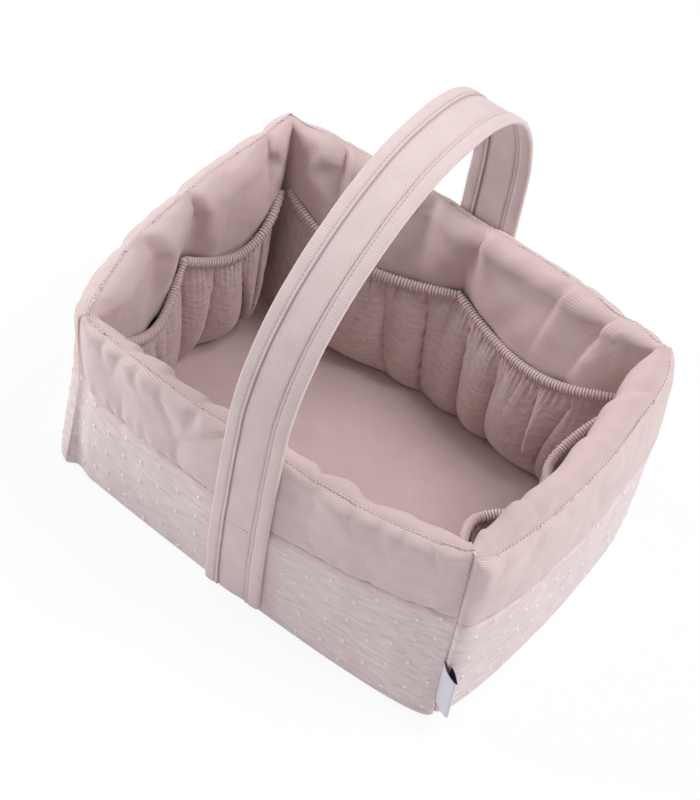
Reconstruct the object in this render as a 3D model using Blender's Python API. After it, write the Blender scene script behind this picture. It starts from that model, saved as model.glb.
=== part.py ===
"""Soft layette basket: four padded walls, gathered pockets, a firm floor and one strap handle.

+Z is up, X runs along the basket and the front wall faces -Y. The origin lies under the middle of
the base, on the surface that the basket stands on. Every length is in metres.
"""

import math
from dataclasses import dataclass

import bmesh
import bpy
from mathutils import Vector

# Driving sizes of the body, from corner seam to corner seam
BODY_LENGTH = 0.320
BODY_WIDTH_AT_BASE = 0.232
WIDENING_TO_RIM = 0.006
RIM_HEIGHT = 0.168
SEAM_HEIGHT = 0.098
CORNER_LIFT = {"front_left": -0.010, "front_right": 0.004, "back_right": 0.012, "back_left": 0.012}

# Clearance between two pieces that are sewn or laid against each other
GAP = 0.0003
MITRE_SETBACK = GAP / math.sqrt(2)

# Layers of a padded wall. The wadding is rolled fuller at the rim than in the wall below it
WALL_THICKNESS = 0.016
WALL_THICKNESS_AT_CORNER = 0.0084
COVER_THICKNESS = 0.0022
CORNER_PINCH_POWER = 8
CORNER_LIFT_POWER = 3
MIDDLE_LIFT_POWER = 8
FULL_RIM_START = 0.100
FULL_RIM_SPAN = 0.048

# Where the strap presses on a rim, as a share of half the wall, and how a skewed base swells
STRAP_PINCH_SHARE = 0.19
BASE_SKEW_POWER = 0.3

# Base layers, bottom to top
BASE_COVER_THICKNESS = 0.0015
BASE_BOARD_THICKNESS = 0.003
FLOOR_PAD_THICKNESS = 0.005
BASE_EDGE_ROUNDING = 0.006
FOOT_HEIGHT = BASE_COVER_THICKNESS + GAP
FLOOR_PAD_BOTTOM = FOOT_HEIGHT + BASE_BOARD_THICKNESS + GAP
FLOOR_HEIGHT = FLOOR_PAD_BOTTOM + FLOOR_PAD_THICKNESS

# Gathered pockets: cloth, its ruched elastic hem and how the mouth hangs between its tacks
POCKET_CLOTH_THICKNESS = 0.0012
HEM_RADIUS = 0.0036
HEM_SEAT_GAP = 0.0007
HEM_WALL_GAP = 0.0024
HEM_END_SETBACK = 0.0058
HEM_GATHER_PITCH = 0.009
HEM_GATHER_SHARE = 0.2
MOUTH_HEIGHT_AT_TACK = 0.115
MOUTH_HEIGHT_AT_CORNER = 0.125
MOUTH_ROUNDNESS = 0.8
POCKET_FOOT_STANDOFF = 0.001
POCKET_BELLY = 0.017
BELLY_AT_TACK_SHARE = 0.45
BELLY_DROP_POWER = 0.75
BELLY_END_POWER = 8
FOLD_PITCH = 0.025
FOLD_DEPTH = 0.0026

# Strap handle
HANDLE_WIDTH = 0.046
HANDLE_CORE_THICKNESS = 0.0024
HANDLE_COVER_THICKNESS = 0.0009
HANDLE_BINDING_WIDTH = 0.0115
HANDLE_EDGE_ROUNDING = 0.0006
HANDLE_THICKNESS = HANDLE_CORE_THICKNESS + 2 * (HANDLE_COVER_THICKNESS + GAP)
STITCH_LINE_HEIGHT = 0.0875
HANDLE_TIP_RADIUS = HANDLE_WIDTH / 2
PIVOT_HEIGHT = STITCH_LINE_HEIGHT + GAP + HANDLE_TIP_RADIUS
# The shoulders are where the free strap has cleared the rim, and they lean out past the swollen wall
SHOULDER_ABOVE_RIM = 0.022
SHOULDER_HEIGHT = RIM_HEIGHT + SHOULDER_ABOVE_RIM
FRONT_SHOULDER_LEAN = 0.0036
BACK_SHOULDER_LEAN = 0.0036
APEX_HEIGHT = 0.343
APEX_OFFSET = 0.010
FRONT_ARCH_POWER = 1.8
BACK_ARCH_POWER = 2.25
CUT_OVERRUN = 0.008

# Folded side tab in the seam of the front right corner
TAB_HEIGHT = 0.038
TAB_REACH = 0.019
TAB_BOTTOM = 0.019
TAB_ROOT = 0.0012
TAB_RIBBON_THICKNESS = 0.0006
TAB_FOLD_RADIUS = 0.0024
TAB_TURN = math.radians(-33)

# Divisions of the curved shapes
LONG_WALL_SEGMENTS = 12
SHORT_WALL_SEGMENTS = 10
STATION_DRAW = 0.12
CREST_STEPS = 3
POCKET_SEGMENTS_PER_FOLD = 4
HEM_SIDES_RESOLUTION = 2
ARCH_SEGMENTS = 15
LEG_SEGMENTS = 6
SEWN_END_SEGMENTS = 6
TIP_STEPS = 16
FOLD_STEPS = 5
LOWER_ROW_SHARES = (0.35, 0.70)
BAND_ROW_SHARES = (0.40, 0.75)
LINING_ROW_SHARES = (0.30, 0.60, 0.70, 0.80, 0.90)
POCKET_ROW_SHARES = (0.0, 0.15, 0.40, 0.70, 1.0)

UP = Vector((0, 0, 1))


def corner_half_length(height):
    """Half the distance between the corner seams along X."""
    return BODY_LENGTH / 2


def corner_half_width(height):
    """Half the distance between the corner seams along Y, which widens towards the rim."""
    return (BODY_WIDTH_AT_BASE + WIDENING_TO_RIM * height / RIM_HEIGHT) / 2


def ease(share):
    """Runs from 0 to 1, level at both ends."""
    held = min(1, max(0, share))
    return held * held * (3 - 2 * held)


@dataclass
class Shape:
    """How one wall swells past its corner line, how full its rim is, and how its pocket's mouth hangs."""

    swell_at_base: float
    swell_at_seam: float
    swell_at_rim: float
    base_power: float
    seam_power: float
    rim_power_at_start: float
    rim_power_at_end: float
    rim_thickness: float
    middle_lift: float
    base_skew: float
    strap_pinch: float
    mouth_bow: float
    mouth_sag: float


FRONT_SHAPE = Shape(
    swell_at_base=0.010,
    swell_at_seam=0.020,
    swell_at_rim=0.0235,
    base_power=0.6,
    seam_power=1.3,
    rim_power_at_start=0.7,
    rim_power_at_end=0.7,
    rim_thickness=0.020,
    middle_lift=-0.0045,
    base_skew=0.012,
    strap_pinch=0.0045,
    mouth_bow=0.016,
    mouth_sag=0.011,
)
RIGHT_SHAPE = Shape(
    swell_at_base=0.016,
    swell_at_seam=0.0235,
    swell_at_rim=0.0250,
    base_power=0.5,
    seam_power=0.5,
    rim_power_at_start=0.5,
    rim_power_at_end=0.65,
    rim_thickness=0.030,
    middle_lift=0,
    base_skew=0,
    strap_pinch=0,
    mouth_bow=0.030,
    mouth_sag=0.019,
)
BACK_SHAPE = Shape(
    swell_at_base=0.010,
    swell_at_seam=0.020,
    swell_at_rim=0.0250,
    base_power=1.3,
    seam_power=1.3,
    rim_power_at_start=0.85,
    rim_power_at_end=0.85,
    rim_thickness=0.024,
    middle_lift=0.005,
    base_skew=0,
    strap_pinch=0.0055,
    mouth_bow=0.016,
    mouth_sag=0.011,
)
LEFT_SHAPE = Shape(
    swell_at_base=0.016,
    swell_at_seam=0.0235,
    swell_at_rim=0.0240,
    base_power=0.5,
    seam_power=0.8,
    rim_power_at_start=0.5,
    rim_power_at_end=0.65,
    rim_thickness=0.026,
    middle_lift=0,
    base_skew=0,
    strap_pinch=0,
    mouth_bow=0.016,
    mouth_sag=0.019,
)


@dataclass
class Wall:
    """One side of the basket.

    A station runs from -1 to 1 along the wall. A depth is counted inwards from the line between
    the wall's two corner seams, so the swelling of the padded wall is a negative depth.
    """

    name: str
    outward: Vector
    is_long: bool
    start_corner: str
    end_corner: str
    shape: Shape

    @property
    def along(self):
        return UP.cross(self.outward)

    def pick(self, long_value, short_value):
        return long_value if self.is_long else short_value

    def reach(self, height):
        return self.pick(corner_half_width, corner_half_length)(height)

    def run(self, height):
        return self.pick(corner_half_length, corner_half_width)(height)

    def place(self, station, depth, height, setback=0.0):
        """World position of a point, with the wall's ends mitred at 45 degrees."""
        run = self.run(height) - depth - MITRE_SETBACK - setback
        return self.outward * (self.reach(height) - depth) + self.along * (station * run) + UP * height

    def rim_height(self, station):
        start = CORNER_LIFT[self.start_corner] * max(0, -station) ** CORNER_LIFT_POWER
        end = CORNER_LIFT[self.end_corner] * max(0, station) ** CORNER_LIFT_POWER
        middle = self.shape.middle_lift * (1 - station ** MIDDLE_LIFT_POWER)
        return RIM_HEIGHT + start + end + middle

    def seam_height(self, station):
        return SEAM_HEIGHT * self.rim_height(station) / RIM_HEIGHT

    def thickness(self, station, height):
        """Thickness of the padded wall, fullest at the rim and pinched at the corners."""
        fill = ease((height - FULL_RIM_START) / FULL_RIM_SPAN)
        full = WALL_THICKNESS + (self.shape.rim_thickness - WALL_THICKNESS) * fill
        return full + (WALL_THICKNESS_AT_CORNER - full) * abs(station) ** CORNER_PINCH_POWER

    def half_thickness(self, station):
        return self.thickness(station, RIM_HEIGHT) / 2

    def crest_centre(self, station):
        """Height of the middle of the rounded rim."""
        return self.rim_height(station) - self.half_thickness(station)

    def swell(self, station, height):
        shape = self.shape
        open_share = 1 - station ** 2
        base = shape.swell_at_base * open_share ** shape.base_power
        base += shape.base_skew * station * abs(station) * open_share ** BASE_SKEW_POWER
        seam = shape.swell_at_seam * open_share ** shape.seam_power
        rim_power = shape.rim_power_at_start if station < 0 else shape.rim_power_at_end
        rim = shape.swell_at_rim * open_share ** rim_power
        rim -= shape.strap_pinch * math.exp(-(station / STRAP_PINCH_SHARE) ** 2)
        seam_height = self.seam_height(station)
        quarter_turn = math.pi / 2
        if height <= seam_height:
            return base + (seam - base) * math.sin(quarter_turn * height / seam_height)
        climb = min(1, (height - seam_height) / (self.rim_height(station) - seam_height))
        return rim + (seam - rim) * math.cos(quarter_turn * climb)

    def outer_depth(self, station, height):
        """Depth of the outer face, drawn in along the bottom edge."""
        tuck = max(0, 1 - height / BASE_EDGE_ROUNDING) ** 2 * BASE_EDGE_ROUNDING / 2
        return tuck - self.swell(station, height)

    def inner_depth(self, station, height):
        """Depth of the lining's inner face."""
        return self.thickness(station, height) - self.swell(station, height)

    def stations(self):
        """Places of the wall's sections, drawn together towards the corners, where it curves most."""
        count = self.pick(LONG_WALL_SEGMENTS, SHORT_WALL_SEGMENTS)
        evenly = [2 * index / count - 1 for index in range(count + 1)]
        return [place + STATION_DRAW * math.sin(math.pi * place) for place in evenly]

    def lining_depth(self, station, height):
        """Depth of the lining's facet between two of the wall's sections."""
        places = self.stations()
        after = 1
        while after < len(places) - 1 and places[after] < station:
            after += 1
        before = places[after - 1]
        share = (station - before) / (places[after] - before)
        start = self.inner_depth(before, height)
        return start + share * (self.inner_depth(places[after], height) - start)

    def lower_rows(self, station):
        seam = self.seam_height(station)
        between = [BASE_EDGE_ROUNDING + share * (seam - BASE_EDGE_ROUNDING) for share in LOWER_ROW_SHARES]
        return [FOOT_HEIGHT, BASE_EDGE_ROUNDING] + between

    def band_rows(self, station):
        seam = self.seam_height(station)
        crest = self.crest_centre(station)
        return [seam + share * (crest - seam) for share in BAND_ROW_SHARES] + [crest]

    def lining_rows(self, station):
        crest = self.crest_centre(station)
        between = [FLOOR_HEIGHT + share * (crest - FLOOR_HEIGHT) for share in LINING_ROW_SHARES]
        return [FOOT_HEIGHT, FLOOR_HEIGHT] + between + [crest]

    def crest(self, station, inset, first_turn, last_turn, steps):
        """Points round the rim, as depth and height. A turn of 0 faces outwards, 1 faces inwards."""
        centre_height = self.crest_centre(station)
        half = self.half_thickness(station)
        centre_depth = half - self.swell(station, centre_height)
        radius = half - inset
        points = []
        for step in range(steps + 1):
            angle = math.pi * (first_turn + (last_turn - first_turn) * step / steps)
            depth = centre_depth - radius * math.cos(angle)
            points.append((depth, centre_height + radius * math.sin(angle)))
        return points

    def half_gap_turn(self, station, inset):
        """Turn at which the rim seam's two covers stop, half a gap short of the crest."""
        radius = self.half_thickness(station) - inset
        return math.acos(GAP / (2 * radius)) / math.pi

    def mouth_wave(self, station):
        """0 at the tack and at the corners, 1 in the middle of each pocket."""
        return max(0, math.sin(math.pi * abs(station))) ** MOUTH_ROUNDNESS

    def hem_height(self, station):
        rise = (MOUTH_HEIGHT_AT_CORNER - MOUTH_HEIGHT_AT_TACK) * abs(station)
        sag = self.shape.mouth_sag * self.mouth_wave(station)
        return MOUTH_HEIGHT_AT_TACK + rise - sag

    def hem_standoff(self, station):
        """Distance from the lining to the middle of the elastic hem."""
        return HEM_RADIUS + HEM_WALL_GAP + self.shape.mouth_bow * self.mouth_wave(station)


WALLS = (
    Wall("front", Vector((0, -1, 0)), True, "front_left", "front_right", FRONT_SHAPE),
    Wall("right", Vector((1, 0, 0)), False, "front_right", "back_right", RIGHT_SHAPE),
    Wall("back", Vector((0, 1, 0)), True, "back_right", "back_left", BACK_SHAPE),
    Wall("left", Vector((-1, 0, 0)), False, "back_left", "front_left", LEFT_SHAPE),
)
FRONT = WALLS[0]
BACK = WALLS[2]


def srgb(value):
    """Linear colour from a six-digit sRGB hex value."""
    channels = [int(value[start:start + 2], 16) / 255 for start in (0, 2, 4)]
    linear = [c / 12.92 if c <= 0.04045 else ((c + 0.055) / 1.055) ** 2.4 for c in channels]
    return (*linear, 1)


def make_material(name, colour, roughness):
    material = bpy.data.materials.new(name)
    material.use_nodes = True
    shader = material.node_tree.nodes["Principled BSDF"]
    shader.inputs["Base Color"].default_value = srgb(colour)
    shader.inputs["Roughness"].default_value = roughness
    shader.inputs["Metallic"].default_value = 0
    material.diffuse_color = srgb(colour)
    return material


def add_object(name, data, material, parent=None):
    data.materials.append(material)
    item = bpy.data.objects.new(name, data)
    bpy.context.collection.objects.link(item)
    item.parent = parent
    return item


def loft(name, material, rings, parent=None):
    """Sweeps a closed section from ring to ring by extruding its face onto the next ring."""
    origin = parent.location if parent else Vector()
    mesh = bmesh.new()
    start_face = mesh.faces.new([mesh.verts.new(point - origin) for point in rings[0]])
    end_face = start_face
    for ring in rings[1:]:
        passed_face = end_face
        grown = bmesh.ops.extrude_face_region(mesh, geom=[passed_face])["geom"]
        end_face = next(item for item in grown if isinstance(item, bmesh.types.BMFace))
        for vertex, point in zip(end_face.verts, ring):
            vertex.co = point - origin
        if passed_face is not start_face:
            bmesh.ops.delete(mesh, geom=[passed_face], context="FACES_ONLY")
    bmesh.ops.recalc_face_normals(mesh, faces=mesh.faces)
    # Facing layers split their bent quads along the same diagonal, so that their gap stays even
    bent_quads = [face for face in mesh.faces if len(face.verts) == 4]
    bmesh.ops.triangulate(mesh, faces=bent_quads, quad_method="SHORT_EDGE")
    data = bpy.data.meshes.new(name)
    mesh.to_mesh(data)
    mesh.free()
    data.shade_smooth()
    data.set_sharp_from_angle(angle=math.radians(40))
    return add_object(name, data, material, parent)


def wall_loft(name, material, wall, section):
    """Lofts a wall layer, whose section gives depths and heights at a station."""
    rings = []
    for station in wall.stations():
        rings.append([wall.place(station, depth, height) for depth, height in section(wall, station)])
    return loft(name, material, rings)


def lower_panel_section(wall, station):
    rows = [0] + wall.lower_rows(station) + [wall.seam_height(station) - GAP / 2]
    outside = [(wall.outer_depth(station, height), height) for height in rows]
    inside = [(depth + COVER_THICKNESS, height) for depth, height in reversed(outside)]
    return outside + inside


def upper_band_section(wall, station):
    rows = [wall.seam_height(station) + GAP / 2] + wall.band_rows(station)[:-1]
    outside = [(wall.outer_depth(station, height), height) for height in rows]
    inside = [(depth + COVER_THICKNESS, height) for depth, height in reversed(outside)]
    over = wall.crest(station, 0, 0, wall.half_gap_turn(station, 0), CREST_STEPS)
    back = wall.crest(station, COVER_THICKNESS, wall.half_gap_turn(station, COVER_THICKNESS), 0, CREST_STEPS)
    return outside + over + back + inside


def lining_section(wall, station):
    rows = wall.lining_rows(station)[:-1]
    inside = [(wall.inner_depth(station, height), height) for height in rows]
    outside = [(depth - COVER_THICKNESS, height) for depth, height in reversed(inside)]
    over = wall.crest(station, 0, 1, 1 - wall.half_gap_turn(station, 0), CREST_STEPS)
    seam_turn = 1 - wall.half_gap_turn(station, COVER_THICKNESS)
    back = wall.crest(station, COVER_THICKNESS, seam_turn, 1, CREST_STEPS)
    return inside + over + back + outside


def padding_section(wall, station):
    inset = COVER_THICKNESS + GAP
    rows = wall.lower_rows(station) + [wall.seam_height(station)] + wall.band_rows(station)[:-1]
    outside = [(wall.outer_depth(station, height) + inset, height) for height in rows]
    over = wall.crest(station, inset, 0, 1, 2 * CREST_STEPS)
    inner_rows = reversed(wall.lining_rows(station)[:-1])
    inside = [(wall.inner_depth(station, height) - inset, height) for height in inner_rows]
    return outside + over + inside


def build_walls(twill, muslin, wadding):
    for wall in WALLS:
        wall_loft(wall.name + "_lower_panel", muslin, wall, lower_panel_section)
        wall_loft(wall.name + "_upper_band", twill, wall, upper_band_section)
        wall_loft(wall.name + "_lining", twill, wall, lining_section)
        wall_loft(wall.name + "_wall_padding", wadding, wall, padding_section)


def plate(name, material, bottom, thickness, depth_of):
    """A flat layer of the base, inside the four walls."""
    outline = []
    for wall in WALLS:
        for station in wall.stations():
            outline.append(wall.place(station, depth_of(wall, station), bottom))
    return loft(name, material, [outline, [point + UP * thickness for point in outline]])


def cover_edge(wall, station):
    return wall.outer_depth(station, 0) + COVER_THICKNESS + GAP


def lining_edge(wall, station):
    """Clears the lining from its foot up to the floor, whichever way the wall leans there."""
    return max(wall.inner_depth(station, FOOT_HEIGHT), wall.inner_depth(station, FLOOR_HEIGHT)) + GAP


def build_base(twill, board, muslin):
    plate("base_cover", muslin, 0, BASE_COVER_THICKNESS, cover_edge)
    plate("base_board", board, FOOT_HEIGHT, BASE_BOARD_THICKNESS, lining_edge)
    plate("floor_pad", twill, FLOOR_PAD_BOTTOM, FLOOR_PAD_THICKNESS, lining_edge)


def pocket_ring(wall, station):
    """Section of the gathered cloth: drawn up under the hem, full low down, tucked in at the floor."""
    top = wall.hem_height(station) - HEM_RADIUS - HEM_SEAT_GAP
    bottom = FLOOR_HEIGHT + GAP
    top_standoff = wall.hem_standoff(station) - POCKET_CLOTH_THICKNESS / 2
    end_fade = 1 - abs(station) ** BELLY_END_POWER
    fullness = BELLY_AT_TACK_SHARE + (1 - BELLY_AT_TACK_SHARE) * wall.mouth_wave(station)
    run = wall.run(bottom)
    fold = FOLD_DEPTH * math.cos(2 * math.pi * station * round(run / FOLD_PITCH))
    near_side = []
    far_side = []
    for share in POCKET_ROW_SHARES:
        height = bottom + share * (top - bottom)
        hang = math.sin(math.pi * share ** BELLY_DROP_POWER)
        rise = POCKET_FOOT_STANDOFF + (top_standoff - POCKET_FOOT_STANDOFF) * share
        standoff = rise + (POCKET_BELLY * fullness + fold) * hang * end_fade
        depth = wall.lining_depth(station, height) + standoff
        setback = HEM_END_SETBACK * share
        near_side.append(wall.place(station, depth, height, setback))
        far_side.append(wall.place(station, depth + POCKET_CLOTH_THICKNESS, height, setback))
    return near_side + far_side[::-1]


def build_pockets(muslin):
    for wall in WALLS:
        folds = 2 * round(wall.run(0) / FOLD_PITCH)
        count = folds * POCKET_SEGMENTS_PER_FOLD
        rings = [pocket_ring(wall, 2 * index / count - 1) for index in range(count + 1)]
        loft(wall.name + "_pocket_cloth", muslin, rings)
        build_hem(wall, muslin)


def build_hem(wall, muslin):
    """Elastic in its ruched casing, one tube along the pocket's mouth, drawn in between the gathers."""
    name = wall.name + "_pocket_elastic"
    curve = bpy.data.curves.new(name, "CURVE")
    curve.dimensions = "3D"
    curve.bevel_depth = HEM_RADIUS
    curve.bevel_resolution = HEM_SIDES_RESOLUTION
    curve.use_fill_caps = True
    count = 4 * round(wall.run(MOUTH_HEIGHT_AT_TACK) / HEM_GATHER_PITCH)
    spline = curve.splines.new("POLY")
    spline.points.add(count)
    for index in range(count + 1):
        station = 2 * index / count - 1
        height = wall.hem_height(station)
        depth = wall.lining_depth(station, height) + wall.hem_standoff(station)
        point = wall.place(station, depth, height, HEM_END_SETBACK)
        spline.points[index].co = (*point, 1)
        spline.points[index].radius = 1 - HEM_GATHER_SHARE * (index % 2)
    return add_object(name, curve, muslin)


def strap_wall(side):
    """The wall that one half of the strap is sewn to. Side is -1 at the front and 1 at the back."""
    return FRONT if side < 0 else BACK


def shoulder_reach(side):
    """Y of the strap's inner face at its shoulder, as a distance from the middle."""
    wall = strap_wall(side)
    lean = FRONT_SHOULDER_LEAN if side < 0 else BACK_SHOULDER_LEAN
    return wall.reach(RIM_HEIGHT) + wall.swell(0, wall.rim_height(0)) + lean


def strap_leg(height, side):
    """Y of the strap's inner face beside a wall. Side is -1 at the front and 1 at the back."""
    wall = strap_wall(side)
    on_wall = wall.reach(height) - wall.outer_depth(0, min(height, SEAM_HEIGHT)) + GAP
    shoulder = shoulder_reach(side)
    climb = ease((height - STITCH_LINE_HEIGHT) / (SHOULDER_HEIGHT - STITCH_LINE_HEIGHT))
    return side * (on_wall + (shoulder - on_wall) * climb)


def sewn_path(side):
    """Inner face of a sewn strap end, from the bottom edge up to the stitch line, as Y and Z."""
    span = STITCH_LINE_HEIGHT - BASE_EDGE_ROUNDING
    heights = [BASE_EDGE_ROUNDING + span * step / SEWN_END_SEGMENTS for step in range(SEWN_END_SEGMENTS + 1)]
    return [Vector((0, strap_leg(height, side), height)) for height in heights]


def arch_half(side):
    """Inner face of half of the free strap, from its tip up to the top of the arch."""
    bottom = PIVOT_HEIGHT - HANDLE_TIP_RADIUS
    span = SHOULDER_HEIGHT - bottom
    heights = [bottom + span * step / LEG_SEGMENTS for step in range(LEG_SEGMENTS)]
    points = [Vector((0, strap_leg(height, side), height)) for height in heights]
    span = shoulder_reach(side) - side * APEX_OFFSET
    rise = APEX_HEIGHT - HANDLE_THICKNESS - SHOULDER_HEIGHT
    power = FRONT_ARCH_POWER if side < 0 else BACK_ARCH_POWER
    for step in range(ARCH_SEGMENTS + 1):
        angle = math.pi / 2 * step / ARCH_SEGMENTS
        out = max(0, math.cos(angle)) ** (2 / power)
        climb = math.sin(angle) ** (2 / power)
        points.append(Vector((0, APEX_OFFSET + side * span * out, SHOULDER_HEIGHT + rise * climb)))
    return points


def free_path():
    return arch_half(-1) + arch_half(1)[-2::-1]


def strap_rings(path, section):
    """Carries a strap section, given as X and distance from the inner face, along a path."""
    rings = []
    for index, point in enumerate(path):
        before = path[max(0, index - 1)]
        after = path[min(len(path) - 1, index + 1)]
        tangent = (after - before).normalized()
        outward = Vector((1, 0, 0)).cross(tangent)
        rings.append([point + Vector((x, 0, 0)) + outward * rise for x, rise in section])
    return rings


def core_section():
    half = HANDLE_WIDTH / 2 - HANDLE_COVER_THICKNESS - GAP
    low = HANDLE_COVER_THICKNESS + GAP
    high = low + HANDLE_CORE_THICKNESS
    return [(-half, low), (half, low), (half, high), (-half, high)]


def facing_section(low):
    half = HANDLE_WIDTH / 2 - HANDLE_BINDING_WIDTH - GAP
    high = low + HANDLE_COVER_THICKNESS
    return [(-half, low), (half, low), (half, high), (-half, high)]


def binding_section(hand):
    """Folded edge binding, open towards the middle of the strap. Hand is -1 or 1 along X."""
    edge = HANDLE_WIDTH / 2
    inner_edge = edge - HANDLE_BINDING_WIDTH
    pocket_edge = edge - HANDLE_COVER_THICKNESS
    low = HANDLE_COVER_THICKNESS
    high = HANDLE_THICKNESS - HANDLE_COVER_THICKNESS
    bevel = HANDLE_EDGE_ROUNDING
    outline = [
        (inner_edge, 0),
        (edge - bevel, 0),
        (edge, bevel),
        (edge, HANDLE_THICKNESS - bevel),
        (edge - bevel, HANDLE_THICKNESS),
        (inner_edge, HANDLE_THICKNESS),
        (inner_edge, high),
        (pocket_edge, high),
        (pocket_edge, low),
        (inner_edge, low),
    ]
    return [(hand * x, rise) for x, rise in outline]


def strap_sections():
    return {
        "core": core_section(),
        "inner_facing": facing_section(0),
        "outer_facing": facing_section(HANDLE_THICKNESS - HANDLE_COVER_THICKNESS),
        "left_binding": binding_section(-1),
        "right_binding": binding_section(1),
    }


def tip_cutter(side, pivot):
    """Leaves a half round tip on the strap, centred on the pivot, so that it can turn there."""
    reach = HANDLE_WIDTH / 2 + CUT_OVERRUN
    outline = [(-reach, 0), (-reach, -HANDLE_TIP_RADIUS - CUT_OVERRUN)]
    outline += [(reach, -HANDLE_TIP_RADIUS - CUT_OVERRUN), (reach, 0)]
    for step in range(TIP_STEPS + 1):
        angle = math.pi * step / TIP_STEPS
        outline.append((HANDLE_TIP_RADIUS * math.cos(angle), -HANDLE_TIP_RADIUS * math.sin(angle)))
    middle = strap_leg(pivot.location.z, side)
    rings = []
    for y in (middle - HANDLE_THICKNESS - CUT_OVERRUN, middle + HANDLE_THICKNESS + CUT_OVERRUN):
        rings.append([pivot.location + Vector((x, y, z)) for x, z in outline])
    place = "front" if side < 0 else "back"
    cutter = loft(place + "_tip_cutter", pivot_guide_material(), rings, pivot)
    cutter.hide_render = True
    cutter.display_type = "WIRE"
    return cutter


def pivot_guide_material():
    return make_material("guide", "808080", 1)


def build_handle(twill, webbing):
    """The free strap, turning on its pivot, and its two ends sewn to the long walls."""
    pivot = bpy.data.objects.new("handle_pivot", None)
    pivot.location = (0, 0, PIVOT_HEIGHT)
    bpy.context.collection.objects.link(pivot)
    cutters = [tip_cutter(side, pivot) for side in (-1, 1)]
    for part_name, section in strap_sections().items():
        material = webbing if part_name == "core" else twill
        strap = loft("handle_" + part_name, material, strap_rings(free_path(), section), pivot)
        for cutter in cutters:
            cut = strap.modifiers.new("tip", "BOOLEAN")
            cut.operation = "DIFFERENCE"
            cut.solver = "EXACT"
            cut.object = cutter
    for side, place in ((-1, "front"), (1, "back")):
        path = sewn_path(side)
        if side > 0:
            path = path[::-1]
        for part_name, section in strap_sections().items():
            material = webbing if part_name == "core" else twill
            loft(place + "_strap_end_" + part_name, material, strap_rings(path, section))


def build_side_tab(ribbon):
    """A ribbon folded into a narrow loop, both its ends caught in the corner seam."""
    corner = Vector((corner_half_length(0), -corner_half_width(TAB_BOTTOM + TAB_HEIGHT / 2), 0))
    hinge = bpy.data.objects.new("side_tab_pivot", None)
    hinge.location = corner + UP * TAB_BOTTOM
    bpy.context.collection.objects.link(hinge)
    out = Vector((math.cos(TAB_TURN), math.sin(TAB_TURN), 0))
    across = UP.cross(out)
    root = TAB_RIBBON_THICKNESS + GAP
    fold_centre = TAB_REACH - TAB_FOLD_RADIUS
    outer = [(TAB_ROOT, root)]
    inner = [(TAB_ROOT, root - TAB_RIBBON_THICKNESS)]
    for step in range(FOLD_STEPS + 1):
        angle = math.pi * (0.5 - step / FOLD_STEPS)
        for points, radius in ((outer, TAB_FOLD_RADIUS), (inner, TAB_FOLD_RADIUS - TAB_RIBBON_THICKNESS)):
            points.append((fold_centre + radius * math.cos(angle), radius * math.sin(angle)))
    outer.append((TAB_ROOT, -root))
    inner.append((TAB_ROOT, TAB_RIBBON_THICKNESS - root))
    outline = outer + inner[::-1]
    bottom = [hinge.location + out * reach + across * width for reach, width in outline]
    return loft("side_tab", ribbon, [bottom, [point + UP * TAB_HEIGHT for point in bottom]], hinge)


def main():
    for item in list(bpy.data.objects):
        bpy.data.objects.remove(item, do_unlink=True)
    twill = make_material("padded_cotton_twill", "CDB4B4", 0.85)
    strap_twill = make_material("ribbed_cotton_strap", "D6C3C5", 0.85)
    muslin = make_material("dotted_cotton_muslin", "CDBBBD", 0.95)
    wadding = make_material("polyester_wadding", "F2F0EC", 1)
    board = make_material("base_fibreboard", "B9A88F", 0.8)
    webbing = make_material("cotton_webbing", "E4DCD8", 0.9)
    ribbon = make_material("satin_ribbon", "EEEEF4", 0.6)
    build_base(twill, board, muslin)
    build_walls(twill, muslin, wadding)
    build_pockets(muslin)
    build_handle(strap_twill, webbing)
    build_side_tab(ribbon)


main()
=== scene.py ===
"""Looks of a soft layette basket: padded twill walls, muslin, ruched pockets, one strap handle.

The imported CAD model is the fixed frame. Lengths are in metres, +Z is up, X runs along the basket
and the front wall faces -Y.
"""

import logging
import math
from dataclasses import dataclass, replace
from enum import Enum
from functools import cache
from typing import Callable, Optional, Sequence
import bmesh
import bpy
import numpy as np
from mathutils import Matrix, Vector


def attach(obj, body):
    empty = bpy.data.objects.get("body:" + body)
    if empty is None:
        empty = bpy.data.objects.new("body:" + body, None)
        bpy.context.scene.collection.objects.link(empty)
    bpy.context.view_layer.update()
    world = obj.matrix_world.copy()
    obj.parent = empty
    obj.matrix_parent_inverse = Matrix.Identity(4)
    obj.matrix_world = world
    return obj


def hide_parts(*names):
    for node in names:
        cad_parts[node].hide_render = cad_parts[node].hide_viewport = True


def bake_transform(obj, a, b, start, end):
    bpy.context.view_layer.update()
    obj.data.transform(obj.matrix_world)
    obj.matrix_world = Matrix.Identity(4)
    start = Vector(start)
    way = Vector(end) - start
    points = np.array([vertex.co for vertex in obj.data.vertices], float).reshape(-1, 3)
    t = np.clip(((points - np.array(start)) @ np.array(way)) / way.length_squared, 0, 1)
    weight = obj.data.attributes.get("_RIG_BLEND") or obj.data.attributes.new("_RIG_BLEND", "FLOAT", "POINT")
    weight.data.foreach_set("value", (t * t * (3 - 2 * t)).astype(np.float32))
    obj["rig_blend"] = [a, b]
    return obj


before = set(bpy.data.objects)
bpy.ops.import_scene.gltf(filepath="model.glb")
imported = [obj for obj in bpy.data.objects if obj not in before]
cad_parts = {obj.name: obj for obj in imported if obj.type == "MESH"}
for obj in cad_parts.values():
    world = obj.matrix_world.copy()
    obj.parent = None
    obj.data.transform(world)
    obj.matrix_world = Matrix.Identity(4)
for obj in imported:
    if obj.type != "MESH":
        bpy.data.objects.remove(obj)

logging.basicConfig(level=logging.INFO, format="%(message)s")
LOG = logging.getLogger("basket")
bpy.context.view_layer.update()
TINY = 1e-9
UP = np.array((0.0, 0.0, 1.0))
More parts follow.
